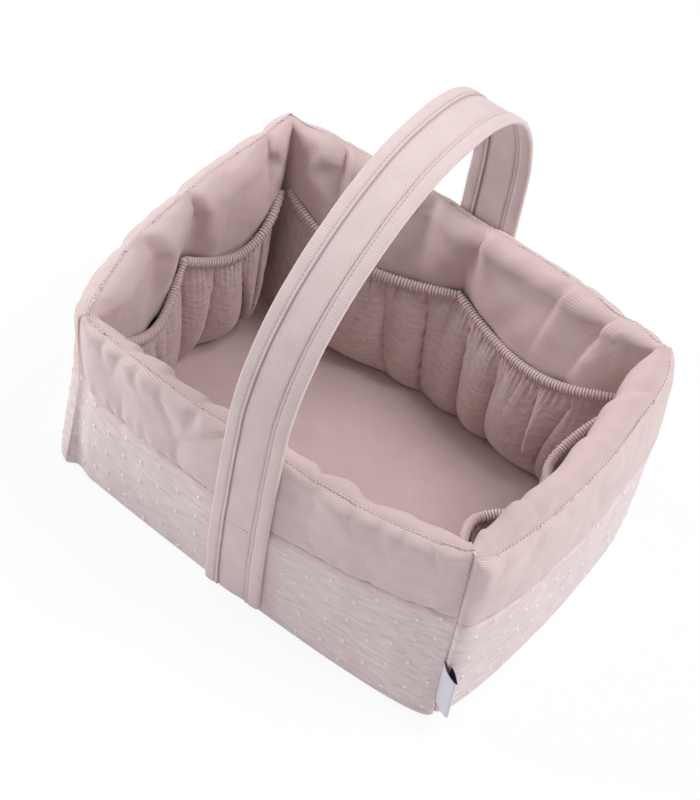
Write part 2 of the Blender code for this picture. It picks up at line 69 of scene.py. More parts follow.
Socket = bpy.types.NodeSocket
Tree = bpy.types.NodeTree


class Facing(Enum):
    """The four sides of the basket, by the direction they face."""

    FRONT = (0.0, -1.0, 0.0)
    RIGHT = (1.0, 0.0, 0.0)
    BACK = (0.0, 1.0, 0.0)
    LEFT = (-1.0, 0.0, 0.0)


class Slot(Enum):
    """The record's material slots that new pieces take their finish from."""

    TWILL = "twill"
    MUSLIN = "muslin"
    STRAP = "strap"
    RIBBON = "ribbon"


def smooth(value: np.ndarray) -> np.ndarray:
    """Eases a value from 0 to 1, flat at both ends."""
    held = np.clip(value, 0, 1)
    return held * held * (3 - 2 * held)


def bell(distance: np.ndarray, width: float, power: float = 2) -> np.ndarray:
    """Falls from 1 at no distance to nearly 0 at twice the width."""
    return np.exp(-((distance / width) ** power))


def unit(vectors: np.ndarray) -> np.ndarray:
    """Vectors of the same directions, with a length of 1."""
    return vectors / np.maximum(np.linalg.norm(vectors, axis=-1, keepdims=True), TINY)


def chain_length(line: np.ndarray) -> np.ndarray:
    """Length along a line of points, counted from its first point."""
    return np.concatenate([[0], np.cumsum(np.linalg.norm(np.diff(line, axis=0), axis=1))])


def linear(hex_colour: str) -> tuple[float, float, float, float]:
    """Turns an sRGB hex value into Blender's linear colour.

    Args:
        hex_colour: Six hex digits.

    Returns:
        Linear red, green, blue and an alpha of 1.
    """
    channels = [int(hex_colour[start:start + 2], 16) / 255 for start in (0, 2, 4)]
    return (*[c / 12.92 if c <= 0.04045 else ((c + 0.055) / 1.055) ** 2.4 for c in channels], 1.0)


@dataclass(frozen=True)
class Waves:
    """Slow unevenness of soft cloth, a sum of a few random plane waves."""

    seed: int
    size: float
    count: int = 7
    size_range: tuple[float, float] = (0.6, 1.7)

    def at(self, x: np.ndarray, y: np.ndarray) -> np.ndarray:
        """Height from about -1 to 1 at places on the cloth.

        Args:
            x: Places along the cloth.
            y: Places across the cloth.

        Returns:
            One height for each place.
        """
        rng = np.random.default_rng(self.seed)
        total = np.zeros(np.broadcast(x, y).shape)
        for _ in range(self.count):
            turn = rng.uniform(0, math.pi)
            pace = 2 * math.pi / (self.size * rng.uniform(*self.size_range))
            start = rng.uniform(0, 2 * math.pi)
            total += np.sin(pace * (x * math.cos(turn) + y * math.sin(turn)) + start)
        return total / math.sqrt(self.count)


@dataclass(frozen=True)
class Puckers:
    """Folds that start at a line of stitching and open out as they run away from it."""

    seed: int
    pitch: float
    depth: float
    fade: float
    width: float
    slant: float = 0.25
    uneven: float = 0.65
    starts: tuple[float, ...] = ()
    one_sided: float = 0.0
    start_range: tuple[float, float] = (0.15, 0.85)
    fade_range: tuple[float, float] = (0.5, 1.5)
    width_range: tuple[float, float] = (0.7, 1.3)
    opening: float = 4.0
    ridge_share: float = 0.5
    ridge_width: float = 2.2
    groove_power: float = 1.35
    fade_power: float = 1.3

    def at(self, along: np.ndarray, away: np.ndarray, half_run: float) -> np.ndarray:
        """Height of the folds, mostly below the cloth.

        Args:
            along: Places along the stitching, from minus to plus half_run.
            away: Distances from the stitching.
            half_run: Half the length of the stitching.

        Returns:
            One height for each place.
        """
        rng = np.random.default_rng(self.seed)
        total = np.zeros(np.broadcast(along, away).shape)
        count = max(2, round(2 * half_run / self.pitch))
        starts = self.starts or [
            (index + rng.uniform(*self.start_range)) * 2 * half_run / count - half_run
            for index in range(count)]
        for start in starts:
            strength = rng.uniform(1 - self.uneven, 1)
            fade = self.fade * rng.uniform(*self.fade_range)
            lean = self.slant * rng.normal()
            width = self.width * rng.uniform(*self.width_range)
            width = width * (1 + away / (self.opening * self.width))
            offset = (along - start - lean * away) / width
            offset = offset / np.where(offset < 0, 1 + self.one_sided, 1 - self.one_sided)
            ridge = self.ridge_share * bell(offset, self.ridge_width)
            fold = ridge - bell(np.abs(offset), 1, self.groove_power)
            total += strength * self.depth * fold * bell(away, fade, self.fade_power)
        return total


@dataclass(frozen=True)
class WallLine:
    """One wall between its two corner seams, with the sizes of the CAD model.

    A station runs from -1 to 1 along the wall. A depth is counted inwards from the line between
    the corner seams, so the swelling of the padded wall is a negative depth.
    """

    facing: Facing
    start_lift: float
    end_lift: float
    swell_at_base: float
    swell_at_seam: float
    swell_at_rim: float
    thickness_at_rim: float
    base_power: float = 0.5
    seam_power: float = 0.5
    rim_powers: tuple[float, float] = (0.5, 0.5)
    middle_lift: float = 0.0
    base_skew: float = 0.0
    strap_pinch: float = 0.0
    stitch_turn: float = 0.4
    mouth_bow: float = 0.016
    mouth_sag: float = 0.011
    tack_shift: float = 0.0
    valleys: tuple[float, ...] = (-0.128, -0.095, -0.058, -0.020, 0.022, 0.062, 0.100, 0.131)
    tucks: tuple[float, ...] = (-0.111, -0.080, -0.047, 0.044, 0.082)
    tuck_depth: float = 0.0065
    pucker_shares: tuple[float, float] = (1.0, 1.0)
    overhang_share: float = 1.0
    start_bow: float = 0.0
    foot_lifts: tuple[float, float] = (0.0, 0.0)
    body_length: float = 0.320
    width_at_base: float = 0.232
    widening_to_rim: float = 0.006
    rim: float = 0.168
    seam: float = 0.098
    thickness: float = 0.016
    thickness_at_corner: float = 0.0084
    edge_rounding: float = 0.006
    thickening_start: float = 0.100
    thickening_run: float = 0.048
    corner_power: float = 8
    skew_power: float = 0.30
    strap_reach: float = 0.19
    foot_draw: float = 0.0045
    foot_draw_reach: float = 0.024
    foot_draw_top: float = 0.085
    foot_draw_fade: float = 0.065
    foot_lift_start: float = 0.66
    mouth_power: float = 0.8
    hem: float = 0.115
    hem_rise_to_corner: float = 0.010
    hem_clearance: float = 0.0043
    start_bow_run: float = 0.3
    lip_drop: float = 0.005
    lip_run: float = 0.022
    lip_centre: float = 0.004
    floor: float = 0.0101
    foot: float = 0.0004

    @property
    def name(self) -> str:
        """The wall's name, as in its CAD nodes."""
        return self.facing.name.lower()

    @property
    def is_long(self) -> bool:
        """Whether the wall runs along X."""
        return self.facing in (Facing.FRONT, Facing.BACK)

    @property
    def outward(self) -> np.ndarray:
        """The direction that the wall faces."""
        return np.array(self.facing.value)

    @property
    def along(self) -> np.ndarray:
        """The direction of rising stations."""
        return np.cross(UP, self.outward)

    def half_length(self, height: np.ndarray) -> np.ndarray:
        """Half the distance between the corner seams along X."""
        return np.full(np.shape(height), self.body_length / 2)

    def half_width(self, height: np.ndarray) -> np.ndarray:
        """Half the distance between the corner seams along Y."""
        return (self.width_at_base + self.widening_to_rim * np.asarray(height) / self.rim) / 2

    def reach(self, height: np.ndarray) -> np.ndarray:
        """Distance of the corner line from the middle of the basket."""
        return self.half_width(height) if self.is_long else self.half_length(height)

    def run(self, height: np.ndarray) -> np.ndarray:
        """Half the length of the corner line."""
        return self.half_length(height) if self.is_long else self.half_width(height)

    def place(self, station: np.ndarray, depth: np.ndarray, height: np.ndarray) -> np.ndarray:
        """World places of points given by station, depth and height.

        Args:
            station: Stations from -1 to 1.
            depth: Depths, inwards.
            height: Heights above the floor.

        Returns:
            An array of points, with the wall's ends mitred at 45 degrees.
        """
        out = (self.reach(height) - depth)[..., None] * self.outward
        side = (station * (self.run(height) - depth))[..., None] * self.along
        return out + side + np.asarray(height)[..., None] * UP

    def rim_height(self, station: np.ndarray) -> np.ndarray:
        """Height of the rim, which droops or peaks at the corners and along its middle."""
        start = self.start_lift * np.clip(-station, 0, 1) ** 3
        end = self.end_lift * np.clip(station, 0, 1) ** 3
        return self.rim + start + end + self.middle_lift * (1 - station ** self.corner_power)

    def seam_height(self, station: np.ndarray) -> np.ndarray:
        """Height of the seam between the muslin and the upper band."""
        return self.seam * self.rim_height(station) / self.rim

    def wall_thickness(self, station: np.ndarray, height: np.ndarray) -> np.ndarray:
        """Thickness of the padded wall, fullest at the rim and pinched at the corners."""
        share = smooth((height - self.thickening_start) / self.thickening_run)
        full = self.thickness + (self.thickness_at_rim - self.thickness) * share
        at_corner = np.abs(station) ** self.corner_power
        return full + (self.thickness_at_corner - full) * at_corner

    def half_thickness(self, station: np.ndarray) -> np.ndarray:
        """Half the thickness of the rolled rim."""
        return self.wall_thickness(station, np.full(np.shape(station), self.rim)) / 2

    def crest_centre(self, station: np.ndarray) -> np.ndarray:
        """Height of the middle of the rounded rim."""
        return self.rim_height(station) - self.half_thickness(station)

    def swell(self, station: np.ndarray, height: np.ndarray) -> np.ndarray:
        """How far the padded wall stands out past its corner line."""
        open_share = np.clip(1 - station ** 2, 0, 1)
        seam_height = self.seam_height(station)
        base = self.swell_at_base * open_share ** self.base_power
        base = base + self.base_skew * station * open_share ** self.skew_power
        seam = self.swell_at_seam * open_share ** self.seam_power
        rim = self.swell_at_rim * open_share ** np.where(station < 0, *self.rim_powers)
        rim = rim - self.strap_pinch * bell(station, self.strap_reach)
        low = base + (seam - base) * np.sin(math.pi / 2 * np.clip(height / seam_height, 0, 1))
        climb = np.clip((height - seam_height) / (self.rim_height(station) - seam_height), 0, 1)
        high = rim + (seam - rim) * np.cos(math.pi / 2 * climb)
        return np.where(height <= seam_height, low, high)

    def outer_depth(self, station: np.ndarray, height: np.ndarray) -> np.ndarray:
        """Depth of the outer face, drawn in along the bottom edge."""
        tuck = np.clip(1 - height / self.edge_rounding, 0, 1) ** 2 * self.edge_rounding / 2
        return tuck - self.swell(station, height)

    def inner_depth(self, station: np.ndarray, height: np.ndarray) -> np.ndarray:
        """Depth of the lining's inner face."""
        return self.wall_thickness(station, height) - self.swell(station, height)

    def corner_draw(self, station: np.ndarray, height: np.ndarray) -> np.ndarray:
        """How far the lower outside is drawn in at a corner whose foot is lifted."""
        lifted = np.where(station < 0, *[float(lift > 0) for lift in self.foot_lifts])
        from_corner = (1 - np.abs(station)) * self.run(height)
        near = smooth(1 - from_corner / self.foot_draw_reach)
        low = 1 - smooth((height - self.foot_draw_top) / self.foot_draw_fade)
        return self.foot_draw * lifted * near * low

    def foot_height(self, station: np.ndarray) -> np.ndarray:
        """Height of the bottom edge, which rises towards a lifted foot."""
        rise = [smooth((side * station - self.foot_lift_start) / (1 - self.foot_lift_start))
                for side in (-1, 1)]
        return self.foot + self.foot_lifts[0] * rise[0] + self.foot_lifts[1] * rise[1]

    def mouth_wave(self, station: np.ndarray) -> np.ndarray:
        """0 where the pocket's hem is tacked, 1 in the middle of each bay."""
        shifted = station - self.tack_shift * (1 - station ** 2)
        return np.clip(np.sin(math.pi * np.abs(shifted)), 0, 1) ** self.mouth_power

    def hem_height(self, station: np.ndarray) -> np.ndarray:
        """Height of the elastic hem, which sags between its tacks."""
        corner_rise = self.hem_rise_to_corner * np.abs(station)
        return self.hem + corner_rise - self.mouth_sag * self.mouth_wave(station)

    def hem_standoff(self, station: np.ndarray) -> np.ndarray:
        """Distance from the lining to the middle of the hem."""
        bow = self.mouth_bow + self.start_bow * smooth(-station / self.start_bow_run)
        return self.hem_clearance + bow * self.mouth_wave(station)

    def overhang(self, station: np.ndarray, height: np.ndarray) -> np.ndarray:
        """How far the padded lining bulges in over the pocket's hem."""
        lip = self.hem_height(station) - self.lip_drop
        below = smooth((height - lip) / self.lip_run + 1)
        above = 1 - smooth((height - lip) / (self.crest_centre(station) - lip))
        bulge = self.hem_standoff(station) - self.hem_clearance
        return self.overhang_share * bulge * below * above

    def near_lip(self, station: np.ndarray, height: np.ndarray, width: float) -> np.ndarray:
        """1 where the lining bears on the pocket's hem, 0 away from it."""
        return bell(height - self.hem_height(station) - self.lip_centre, width)


WALL_LINES = (
    WallLine(
        Facing.FRONT, -0.010, 0.004, 0.010, 0.020, 0.0235, 0.020, 0.6, 1.3, (0.7, 0.7),
        middle_lift=-0.0045, base_skew=0.012, strap_pinch=0.0045, stitch_turn=0.38,
        tucks=(-0.111, -0.080, -0.047, 0.040, 0.073),
        pucker_shares=(1.35, 0.4), foot_lifts=(0.003, 0.0)),
    WallLine(
        Facing.RIGHT, 0.004, 0.012, 0.016, 0.0235, 0.0250, 0.030, 0.5, 0.5, (0.5, 0.65),
        stitch_turn=0.25, mouth_bow=0.030, mouth_sag=0.019,
        valleys=(-0.092, -0.062, -0.030, -0.002, 0.034, 0.064, 0.094),
        tucks=(-0.096, -0.056, 0.028, 0.075), tuck_depth=0.0055,
        pucker_shares=(0.7, 0.4), overhang_share=0.25, start_bow=0.010),
    WallLine(
        Facing.BACK, 0.012, 0.012, 0.010, 0.020, 0.0250, 0.024, 1.3, 1.3, (0.85, 0.85),
        middle_lift=0.005, strap_pinch=0.0055,
        stitch_turn=0.40, valleys=(-0.137, -0.103, -0.060, -0.017, 0.023, 0.060, 0.098, 0.132),
        tucks=(-0.118, -0.075, -0.004, 0.038, 0.113), tuck_depth=0.012,
        pucker_shares=(0.4, 0.8)),
    WallLine(
        Facing.LEFT, 0.012, -0.010, 0.016, 0.0235, 0.0240, 0.026, 0.5, 0.8, (0.5, 0.65),
        stitch_turn=0.42, mouth_sag=0.019, tack_shift=-0.05,
        valleys=(-0.096, -0.064, -0.038, -0.009, 0.027, 0.060, 0.094),
        tucks=(-0.092, -0.013, 0.040), tuck_depth=0.017,
        pucker_shares=(0.4, 0.8), foot_lifts=(0.0, 0.003)),
)


def add_node(tree: Tree, kind: str, links: Optional[dict] = None, **settings) -> bpy.types.Node:
    """Adds a shader node.

    Args:
        tree: The material's node tree.
        kind: The node's type name.
        links: A value or an output socket for each input, by the input's name or number.
        settings: Properties of the node.

    Returns:
        The node.
    """
    node = tree.nodes.new(kind)
    for name, value in settings.items():
        setattr(node, name, value)
    for name, value in (links or {}).items():
        if isinstance(value, Socket):
            tree.links.new(value, node.inputs[name])
        else:
            node.inputs[name].default_value = value
    return node


@dataclass(frozen=True)
class ClothNodes:
    """A cloth material in the making, and the places on the cloth that its patterns follow."""

    material: bpy.types.Material
    tree: Tree
    place: Socket

    def math(self, operation: str, *values) -> Socket:
        """Adds a Math node and gives its output."""
        links = dict(enumerate(values))
        return add_node(self.tree, "ShaderNodeMath", links, operation=operation).outputs[0]

    def vector(self, operation: str, links: dict) -> bpy.types.Node:
        """Adds a Vector Math node."""
        return add_node(self.tree, "ShaderNodeVectorMath", links, operation=operation)

    def ramp(self, value: Socket, start: float, end: float, most: float = 1.0) -> Socket:
        """Rises from 0 where the value is at the start to the most where it is at the end."""
        links = {0: value, 1: start, 2: end, 3: 0.0, 4: most}
        return add_node(self.tree, "ShaderNodeMapRange", links).outputs[0]

    def ribs(self, pitch: float, turn: float, wander: float = 0.0,
             wander_scale: float = 60.0) -> Socket:
        """Fine lines of a weave as a wave from 0 to 1.

        Args:
            pitch: Distance from line to line.
            turn: Angle of the lines to the cloth's length, in degrees.
            wander: How far the lines stray.
            wander_scale: Scale of the noise that leads them astray.

        Returns:
            The output socket.
        """
        pace, angle = 2 * math.pi / pitch, math.radians(turn)
        across = (-math.sin(angle) * pace, math.cos(angle) * pace, 0)
        place = self.place
        if wander:
            noise = {"Vector": place, "Scale": wander_scale, "Detail": 1.0}
            stray = add_node(self.tree, "ShaderNodeTexNoise", noise).outputs["Color"]
            shift = self.vector("SCALE", {0: stray, 3: wander}).outputs[0]
            place = self.vector("ADD", {0: place, 1: shift}).outputs[0]
        phase = self.vector("DOT_PRODUCT", {0: place, 1: across}).outputs["Value"]
        return self.math("MULTIPLY_ADD", self.math("SINE", phase), 0.5, 0.5)

    def mottle(self, size: float, stretch: float = 1.0, detail: float = 3.0) -> Socket:
        """Uneven tone from 0 to 1, in patches of about the size, drawn out along the cloth."""
        links = {0: self.place, "Scale": (1 / stretch, 1.0, 1.0)}
        place = add_node(self.tree, "ShaderNodeMapping", links).outputs[0]
        noise = {"Vector": place, "Scale": 1 / size, "Detail": detail}
        return add_node(self.tree, "ShaderNodeTexNoise", noise).outputs[0]


@dataclass(frozen=True)
class Finish:
    """What every cloth finish shares: its name, its two tones and how its surface takes light."""

    name: str
    tone: str
    shade: str
    roughness: float = 0.85
    sheen: float = 0.25
    sheen_roughness: float = 0.5
    specular: float = 0.25
    bump: float = 0.22
    bump_size: float = 0.0005
    patch_share: float = 0.3

    def start(self) -> ClothNodes:
        """Starts a material that reads the piece's own UV map, which is in metres."""
        material = bpy.data.materials.new(self.name)
        material.use_nodes = True
        material.diffuse_color = linear(self.tone)
        tree = material.node_tree
        tree.nodes.clear()
        place = add_node(tree, "ShaderNodeUVMap", uv_map="cloth").outputs[0]
        return ClothNodes(material, tree, place)

    def finish(self, nodes: ClothNodes, fleck: Socket, relief: Socket) -> bpy.types.Material:
        """Colours the cloth between its two tones and raises its surface.

        Args:
            nodes: The material from start().
            fleck: 0 for the shade, 1 for the tone.
            relief: Height of the surface, from 0 to 1.

        Returns:
            The finished material.
        """
        tones = {0: fleck, 6: linear(self.shade), 7: linear(self.tone)}
        colour = add_node(nodes.tree, "ShaderNodeMix", tones, data_type="RGBA", clamp_factor=True)
        raised = {"Strength": self.bump, "Distance": self.bump_size, "Height": relief}
        bump = add_node(nodes.tree, "ShaderNodeBump", raised)
        shader = add_node(nodes.tree, "ShaderNodeBsdfPrincipled", {
            "Base Color": colour.outputs[2], "Roughness": self.roughness, "Normal": bump.outputs[0],
            "Sheen Weight": self.sheen, "Sheen Roughness": self.sheen_roughness,
            "Specular IOR Level": self.specular,
        })
        add_node(nodes.tree, "ShaderNodeOutputMaterial", {"Surface": shader.outputs[0]})
        return nodes.material


@dataclass(frozen=True)
class CottonTwill(Finish):
    """Mercerised cotton twill, woven: fine ribs and a dull face. The real ribs are about 0.8 mm
    apart; they are drawn two to three times as coarse, so that they show."""

    pitch: float = 0.0018
    turn: float = -9.0
    contrast: float = 0.5
    wander: float = 0.0006
    patch: float = 0.018
    grain: float = 0.0014

    def build(self) -> bpy.types.Material:
        """Makes the material."""
        nodes = self.start()
        lines = nodes.ribs(self.pitch, self.turn, self.wander)
        grain = nodes.math("MULTIPLY_ADD", nodes.mottle(self.grain), 1.1, 0.45)
        broken = nodes.math("MULTIPLY", lines, grain)
        tone = nodes.math("MULTIPLY_ADD", broken, self.contrast, 0.17)
        fleck = nodes.math("MULTIPLY_ADD", nodes.mottle(self.patch), self.patch_share, tone)
        return self.finish(nodes, fleck, broken)


@dataclass(frozen=True)
class CrinkledMuslin(Finish):
    """Cotton double muslin, woven and washed: crosswise crinkles 3 to 5 mm apart between the rows
    where its two layers are caught together, and uneven thread."""

    crinkle: float = 0.0030
    stretch: float = 5.0
    crinkle_share: float = 0.65
    thread: float = 0.0009
    thread_share: float = 0.5
    patch: float = 0.02

    def build(self) -> bpy.types.Material:
        """Makes the material."""
        nodes = self.start()
        crinkle = nodes.ramp(nodes.mottle(self.crinkle, self.stretch, 2.0), 0.3, 0.7)
        thread = nodes.math("MULTIPLY", nodes.mottle(self.thread, 1.5, 1.0), self.thread_share)
        cloth = nodes.math("MULTIPLY_ADD", crinkle, self.crinkle_share, thread)
        tone = nodes.math("MULTIPLY", cloth, 0.7)
        fleck = nodes.math("MULTIPLY_ADD", nodes.mottle(self.patch), self.patch_share, tone)
        return self.finish(nodes, fleck, cloth)


@dataclass(frozen=True)
class RibbedStrap(Finish):
    """Cotton twill cut so that its ribs run steeply along the strap's middle and across its edge
    bindings, lock-stitched beside the folded edges. The ribs are drawn coarser than the real ones.
    Painted shade darkens its needle holes, stitch channels and the grooves beside its folds."""

    pitch: float = 0.0019
    turn: float = -71.0
    binding_turn: float = 6.0
    fold: float = 0.0115
    crease_inset: float = 0.0002
    stitch_line: float = 0.0138
    stitch_pitch: float = 0.0032
    patch: float = 0.015
    grain: float = 0.0010

    def build(self) -> bpy.types.Material:
        """Makes the material, whose UV runs across the strap first and along it second."""
        nodes = self.start()
        split = add_node(nodes.tree, "ShaderNodeSeparateXYZ", {0: nodes.place})
        from_middle = nodes.math("ABSOLUTE", split.outputs[0])
        at_edge = nodes.math("GREATER_THAN", from_middle, self.fold)
        ribs = [nodes.ribs(self.pitch, turn) for turn in (self.turn, self.binding_turn)]
        links = {0: at_edge, 2: ribs[0], 3: ribs[1]}
        lines = add_node(nodes.tree, "ShaderNodeMix", links, clamp_factor=False).outputs[0]
        across = nodes.math("SUBTRACT", from_middle, self.stitch_line)
        step = nodes.math("DIVIDE", split.outputs[1], self.stitch_pitch)
        along = nodes.math("SUBTRACT", nodes.math("FRACT", step), 0.5)
        along = nodes.math("MULTIPLY", along, self.stitch_pitch)
        spot = add_node(nodes.tree, "ShaderNodeCombineXYZ", {0: across, 1: along}).outputs[0]
        away = nodes.vector("LENGTH", {0: spot}).outputs["Value"]
        # Painted shade: the needle holes and the channel of the lock stitching are darkened in the colour;
        # the holes also sink the bump
        needle_hole_and_shade = nodes.ramp(away, 0.0007, 0.0003, 0.8)
        stitch_channel_shade = nodes.ramp(nodes.math("ABSOLUTE", across), 0.0012, 0.0003, 0.25)
        # Painted shade: a dark line along the groove beside each folded edge
        edge = nodes.math("SUBTRACT", from_middle, self.fold - self.crease_inset)
        fold_crease_shade = nodes.ramp(nodes.math("ABSOLUTE", edge), 0.0006, 0.0002, 0.7)
        grain = nodes.math("MULTIPLY", nodes.mottle(self.grain), 0.48)
        body = nodes.math("MULTIPLY_ADD", lines, 0.42, grain)
        tone = nodes.math("MULTIPLY_ADD", body, 0.8, 0.05)
        fleck = nodes.math("MULTIPLY_ADD", nodes.mottle(self.patch), self.patch_share, tone)
        fleck = nodes.math("SUBTRACT", fleck, nodes.math("MULTIPLY_ADD", needle_hole_and_shade, 1.3, stitch_channel_shade))
        fleck = nodes.math("SUBTRACT", fleck, fold_crease_shade)
        return self.finish(nodes, fleck, nodes.math("SUBTRACT", body, needle_hole_and_shade))


@dataclass(frozen=True)
class PlainCloth(Finish):
    """Cloth or thread too small in the picture to show a pattern: a fine grain over an even tone."""

    grain: float = 0.0007

    def build(self) -> bpy.types.Material:
        """Makes the material on Object coordinates, which suit small pieces with no UV map."""
        nodes = self.start()
        place = add_node(nodes.tree, "ShaderNodeTexCoord").outputs["Object"]
        grain = replace(nodes, place=place).mottle(self.grain)
        return self.finish(nodes, grain, grain)


@dataclass(frozen=True)
class RuchedCasing(Finish):
    """Muslin ruched onto elastic: the gathers catch the light and the grooves between are dark."""

    pitch: float = 0.0023
    gather_power: float = 0.6
    gather_share: float = 0.8
    grain: float = 0.0009
    grain_share: float = 0.25

    def build(self) -> bpy.types.Material:
        """Makes the material, whose UV counts the gathers along the hem."""
        nodes = self.start()
        gathers = nodes.math("POWER", nodes.ribs(self.pitch, 90.0), self.gather_power)
        grain = nodes.mottle(self.grain)
        tone = nodes.math("MULTIPLY", gathers, self.gather_share)
        return self.finish(nodes, nodes.math("MULTIPLY_ADD", grain, self.grain_share, tone), grain)


@dataclass(frozen=True)
class Fibreboard(PlainCloth):
    """Pressed fibreboard, sawn: flat, brown and slightly furry, with short fibres."""


@cache
def material_of(finish: Finish) -> bpy.types.Material:
    """The material of a finish, built once."""
    return finish.build()


LONG_BAND_TWILL = CottonTwill("mercerised_twill_long_band", "DFCDCD", "BAA1A1", pitch=0.0018)
SHORT_BAND_TWILL = CottonTwill("mercerised_twill_short_band", "DFCDCD", "BAA1A1", pitch=0.0015)
LINING_TWILL = {
    facing: CottonTwill(f"mercerised_twill_lining_{facing.name.lower()}", "D4BFBE", "BAA09E",
                        turn=turn, pitch=pitch, contrast=0.45)
    for facing, turn, pitch in (
        (Facing.FRONT, -9, 0.0019), (Facing.BACK, -6, 0.0019),
        (Facing.LEFT, 6, 0.00145), (Facing.RIGHT, -9, 0.00145),
    )
}
FLOOR_TWILL = CottonTwill("mercerised_twill_floor", "DDC8C7", "B89E9C", turn=-88, pitch=0.0015)
MUSLIN = CrinkledMuslin("crinkled_double_muslin", "EADCDD", "C5B2B3", bump=0.8, bump_size=0.0008)
# Painted shade: the pocket's muslin is a darker copy of the wall's muslin, for the shade inside the basket
SHADED_POCKET_MUSLIN = CrinkledMuslin(
    "shaded_gathered_double_muslin", "D6C2C0", "AE9592", bump=0.7, bump_size=0.0007)
HEM_MUSLIN = RuchedCasing("ruched_muslin_hem", "DAC6C4", "8E716D", bump=0.2)
TUFT = PlainCloth("woven_cotton_tuft", "F6EDEC", "E0D0CF")
# Painted shade: the pocket's tufts are a darker copy of the wall's tufts, for the shade inside the basket
SHADED_POCKET_TUFT = PlainCloth("shaded_woven_cotton_tuft", "E2D1CF", "C8B3B0")
STRAP_TWILL = RibbedStrap("ribbed_twill_strap", "E4D3D3", "C0AAAA")
THREAD = PlainCloth("spun_polyester_thread", "EADFDF", "CDBABA")
# Painted shade: the same light spun thread, darkened for the stitches sunk in the corner seams and across
# the strap
SHADED_THREAD = PlainCloth("shaded_polyester_thread", "9A7E7C", "80625F")
WHITE_RIBBON = PlainCloth("white_satin_ribbon", "D8D8E4", "C9C9D8", roughness=0.5)
NAVY_RIBBON = PlainCloth("navy_satin_ribbon", "2B2D44", "20223A", roughness=0.5)
BOARD = Fibreboard("pressed_fibreboard", "BFAE93", "A39074")


@dataclass
class ClothPiece:
    """One visible piece of the basket, and what it stands for in the CAD model."""

    item: bpy.types.Object
    stands_for: Sequence[str] = ()
    slot: Optional[Slot] = None
    body: str = "basket"

    def settle(self) -> None:
        """Puts the piece on its body and reports it."""
        if self.stands_for:
            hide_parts(*self.stands_for)
        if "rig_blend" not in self.item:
            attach(self.item, self.body)
        faces = len(self.item.data.polygons)
        LOG.info("%s: %d faces, for %s", self.item.name, faces, list(self.stands_for))


def add_object(name: str, data: bpy.types.ID) -> bpy.types.Object:
    """Adds an object to the scene."""
    item = bpy.data.objects.new(name, data)
    bpy.context.scene.collection.objects.link(item)
    return item


def mesh_data(name: str, mesh: bmesh.types.BMesh) -> bpy.types.Mesh:
    """Keeps a bmesh as mesh data and frees it."""
    data = bpy.data.meshes.new(name)
    mesh.to_mesh(data)
    mesh.free()
    return data


def new_object(name: str, mesh: bmesh.types.BMesh, *finishes: Finish) -> bpy.types.Object:
    """Makes an object of a bmesh, shaded smooth.

    Args:
        name: The object's name.
        mesh: The shape, which is freed.
        finishes: One finish for each material number.

    Returns:
        The object, at the origin.
    """
    data = mesh_data(name, mesh)
    data.shade_smooth()
    for finish in finishes:
        data.materials.append(material_of(finish))
    return add_object(name, data)


def flat_grid(rows: int, columns: int) -> tuple[bmesh.types.BMesh, np.ndarray]:
    """A flat grid of vertices.

    Args:
        rows: Number of rows of vertices.
        columns: Number of vertices in a row.

    Returns:
        The mesh, and the row and column of each of its vertices.
    """
    mesh = bmesh.new()
    bmesh.ops.create_grid(mesh, x_segments=columns - 1, y_segments=rows - 1, size=1)
    mesh.verts.index_update()
    last = np.array((rows - 1, columns - 1))
    shares = np.array([(vertex.co.y + 1, vertex.co.x + 1) for vertex in mesh.verts]) / 2
    return mesh, np.rint(shares * last).astype(int)


def grid_mesh(points: np.ndarray, uv: np.ndarray, closed: bool = False) -> bmesh.types.BMesh:
    """Shapes a flat grid onto places in space.

    Args:
        points: Places as rows, columns and X, Y, Z.
        uv: The cloth's own coordinates in metres, as rows, columns and two numbers.
        closed: Whether the last row meets the first round a tube, which gets flat ends.

    Returns:
        The mesh, with its UV map.
    """
    mesh, cells = flat_grid(*points.shape[:2])
    layer = mesh.loops.layers.uv.new("cloth")
    for face in mesh.faces:
        for loop in face.loops:
            loop[layer].uv = uv[tuple(cells[loop.vert.index])]
    for vertex in mesh.verts:
        vertex.co = points[tuple(cells[vertex.index])]
    if closed:
        bmesh.ops.remove_doubles(mesh, verts=mesh.verts, dist=1e-7)
        open_edges = [edge for edge in mesh.edges if edge.is_boundary]
        bmesh.ops.holes_fill(mesh, edges=open_edges, sides=0)
        bmesh.ops.recalc_face_normals(mesh, faces=mesh.faces)
    return mesh


def arc_length(points: np.ndarray, axis: int) -> np.ndarray:
    """Length along a grid of points, counted from its first row or column.

    Args:
        points: Places as rows, columns and X, Y, Z.
        axis: 0 to count up the rows, 1 to count along the columns.

    Returns:
        One length for each point.
    """
    steps = np.linalg.norm(np.diff(points, axis=axis), axis=2)
    start = np.zeros_like(np.take(steps, [0], axis=axis))
    return np.concatenate([start, np.cumsum(steps, axis=axis)], axis=axis)


def spread(values: np.ndarray, at: np.ndarray, axis: int) -> np.ndarray:
    """Reads a coarse grid between its rows or columns along a smooth curve.

    Args:
        values: Rows, columns and X, Y, Z.
        at: Rows or columns to read, as numbers with fractions.
        axis: 0 to read between the rows, 1 between the columns.

    Returns:
        The values at those places.
    """
    last = values.shape[axis] - 1
    start = np.clip(np.floor(at).astype(int), 0, last - 1)
    t = (at - start).reshape([-1 if axis == number else 1 for number in range(3)])
    before, low, high, after = (np.take(values, np.clip(start + step, 0, last), axis=axis)
                                for step in (-1, 0, 1, 2))
    slope, next_slope, gap = (high - before) / 2, (after - low) / 2, high - low
    square, cube = 3 * gap - 2 * slope - next_slope, slope + next_slope - 2 * gap
    return low + t * (slope + t * (square + t * cube))


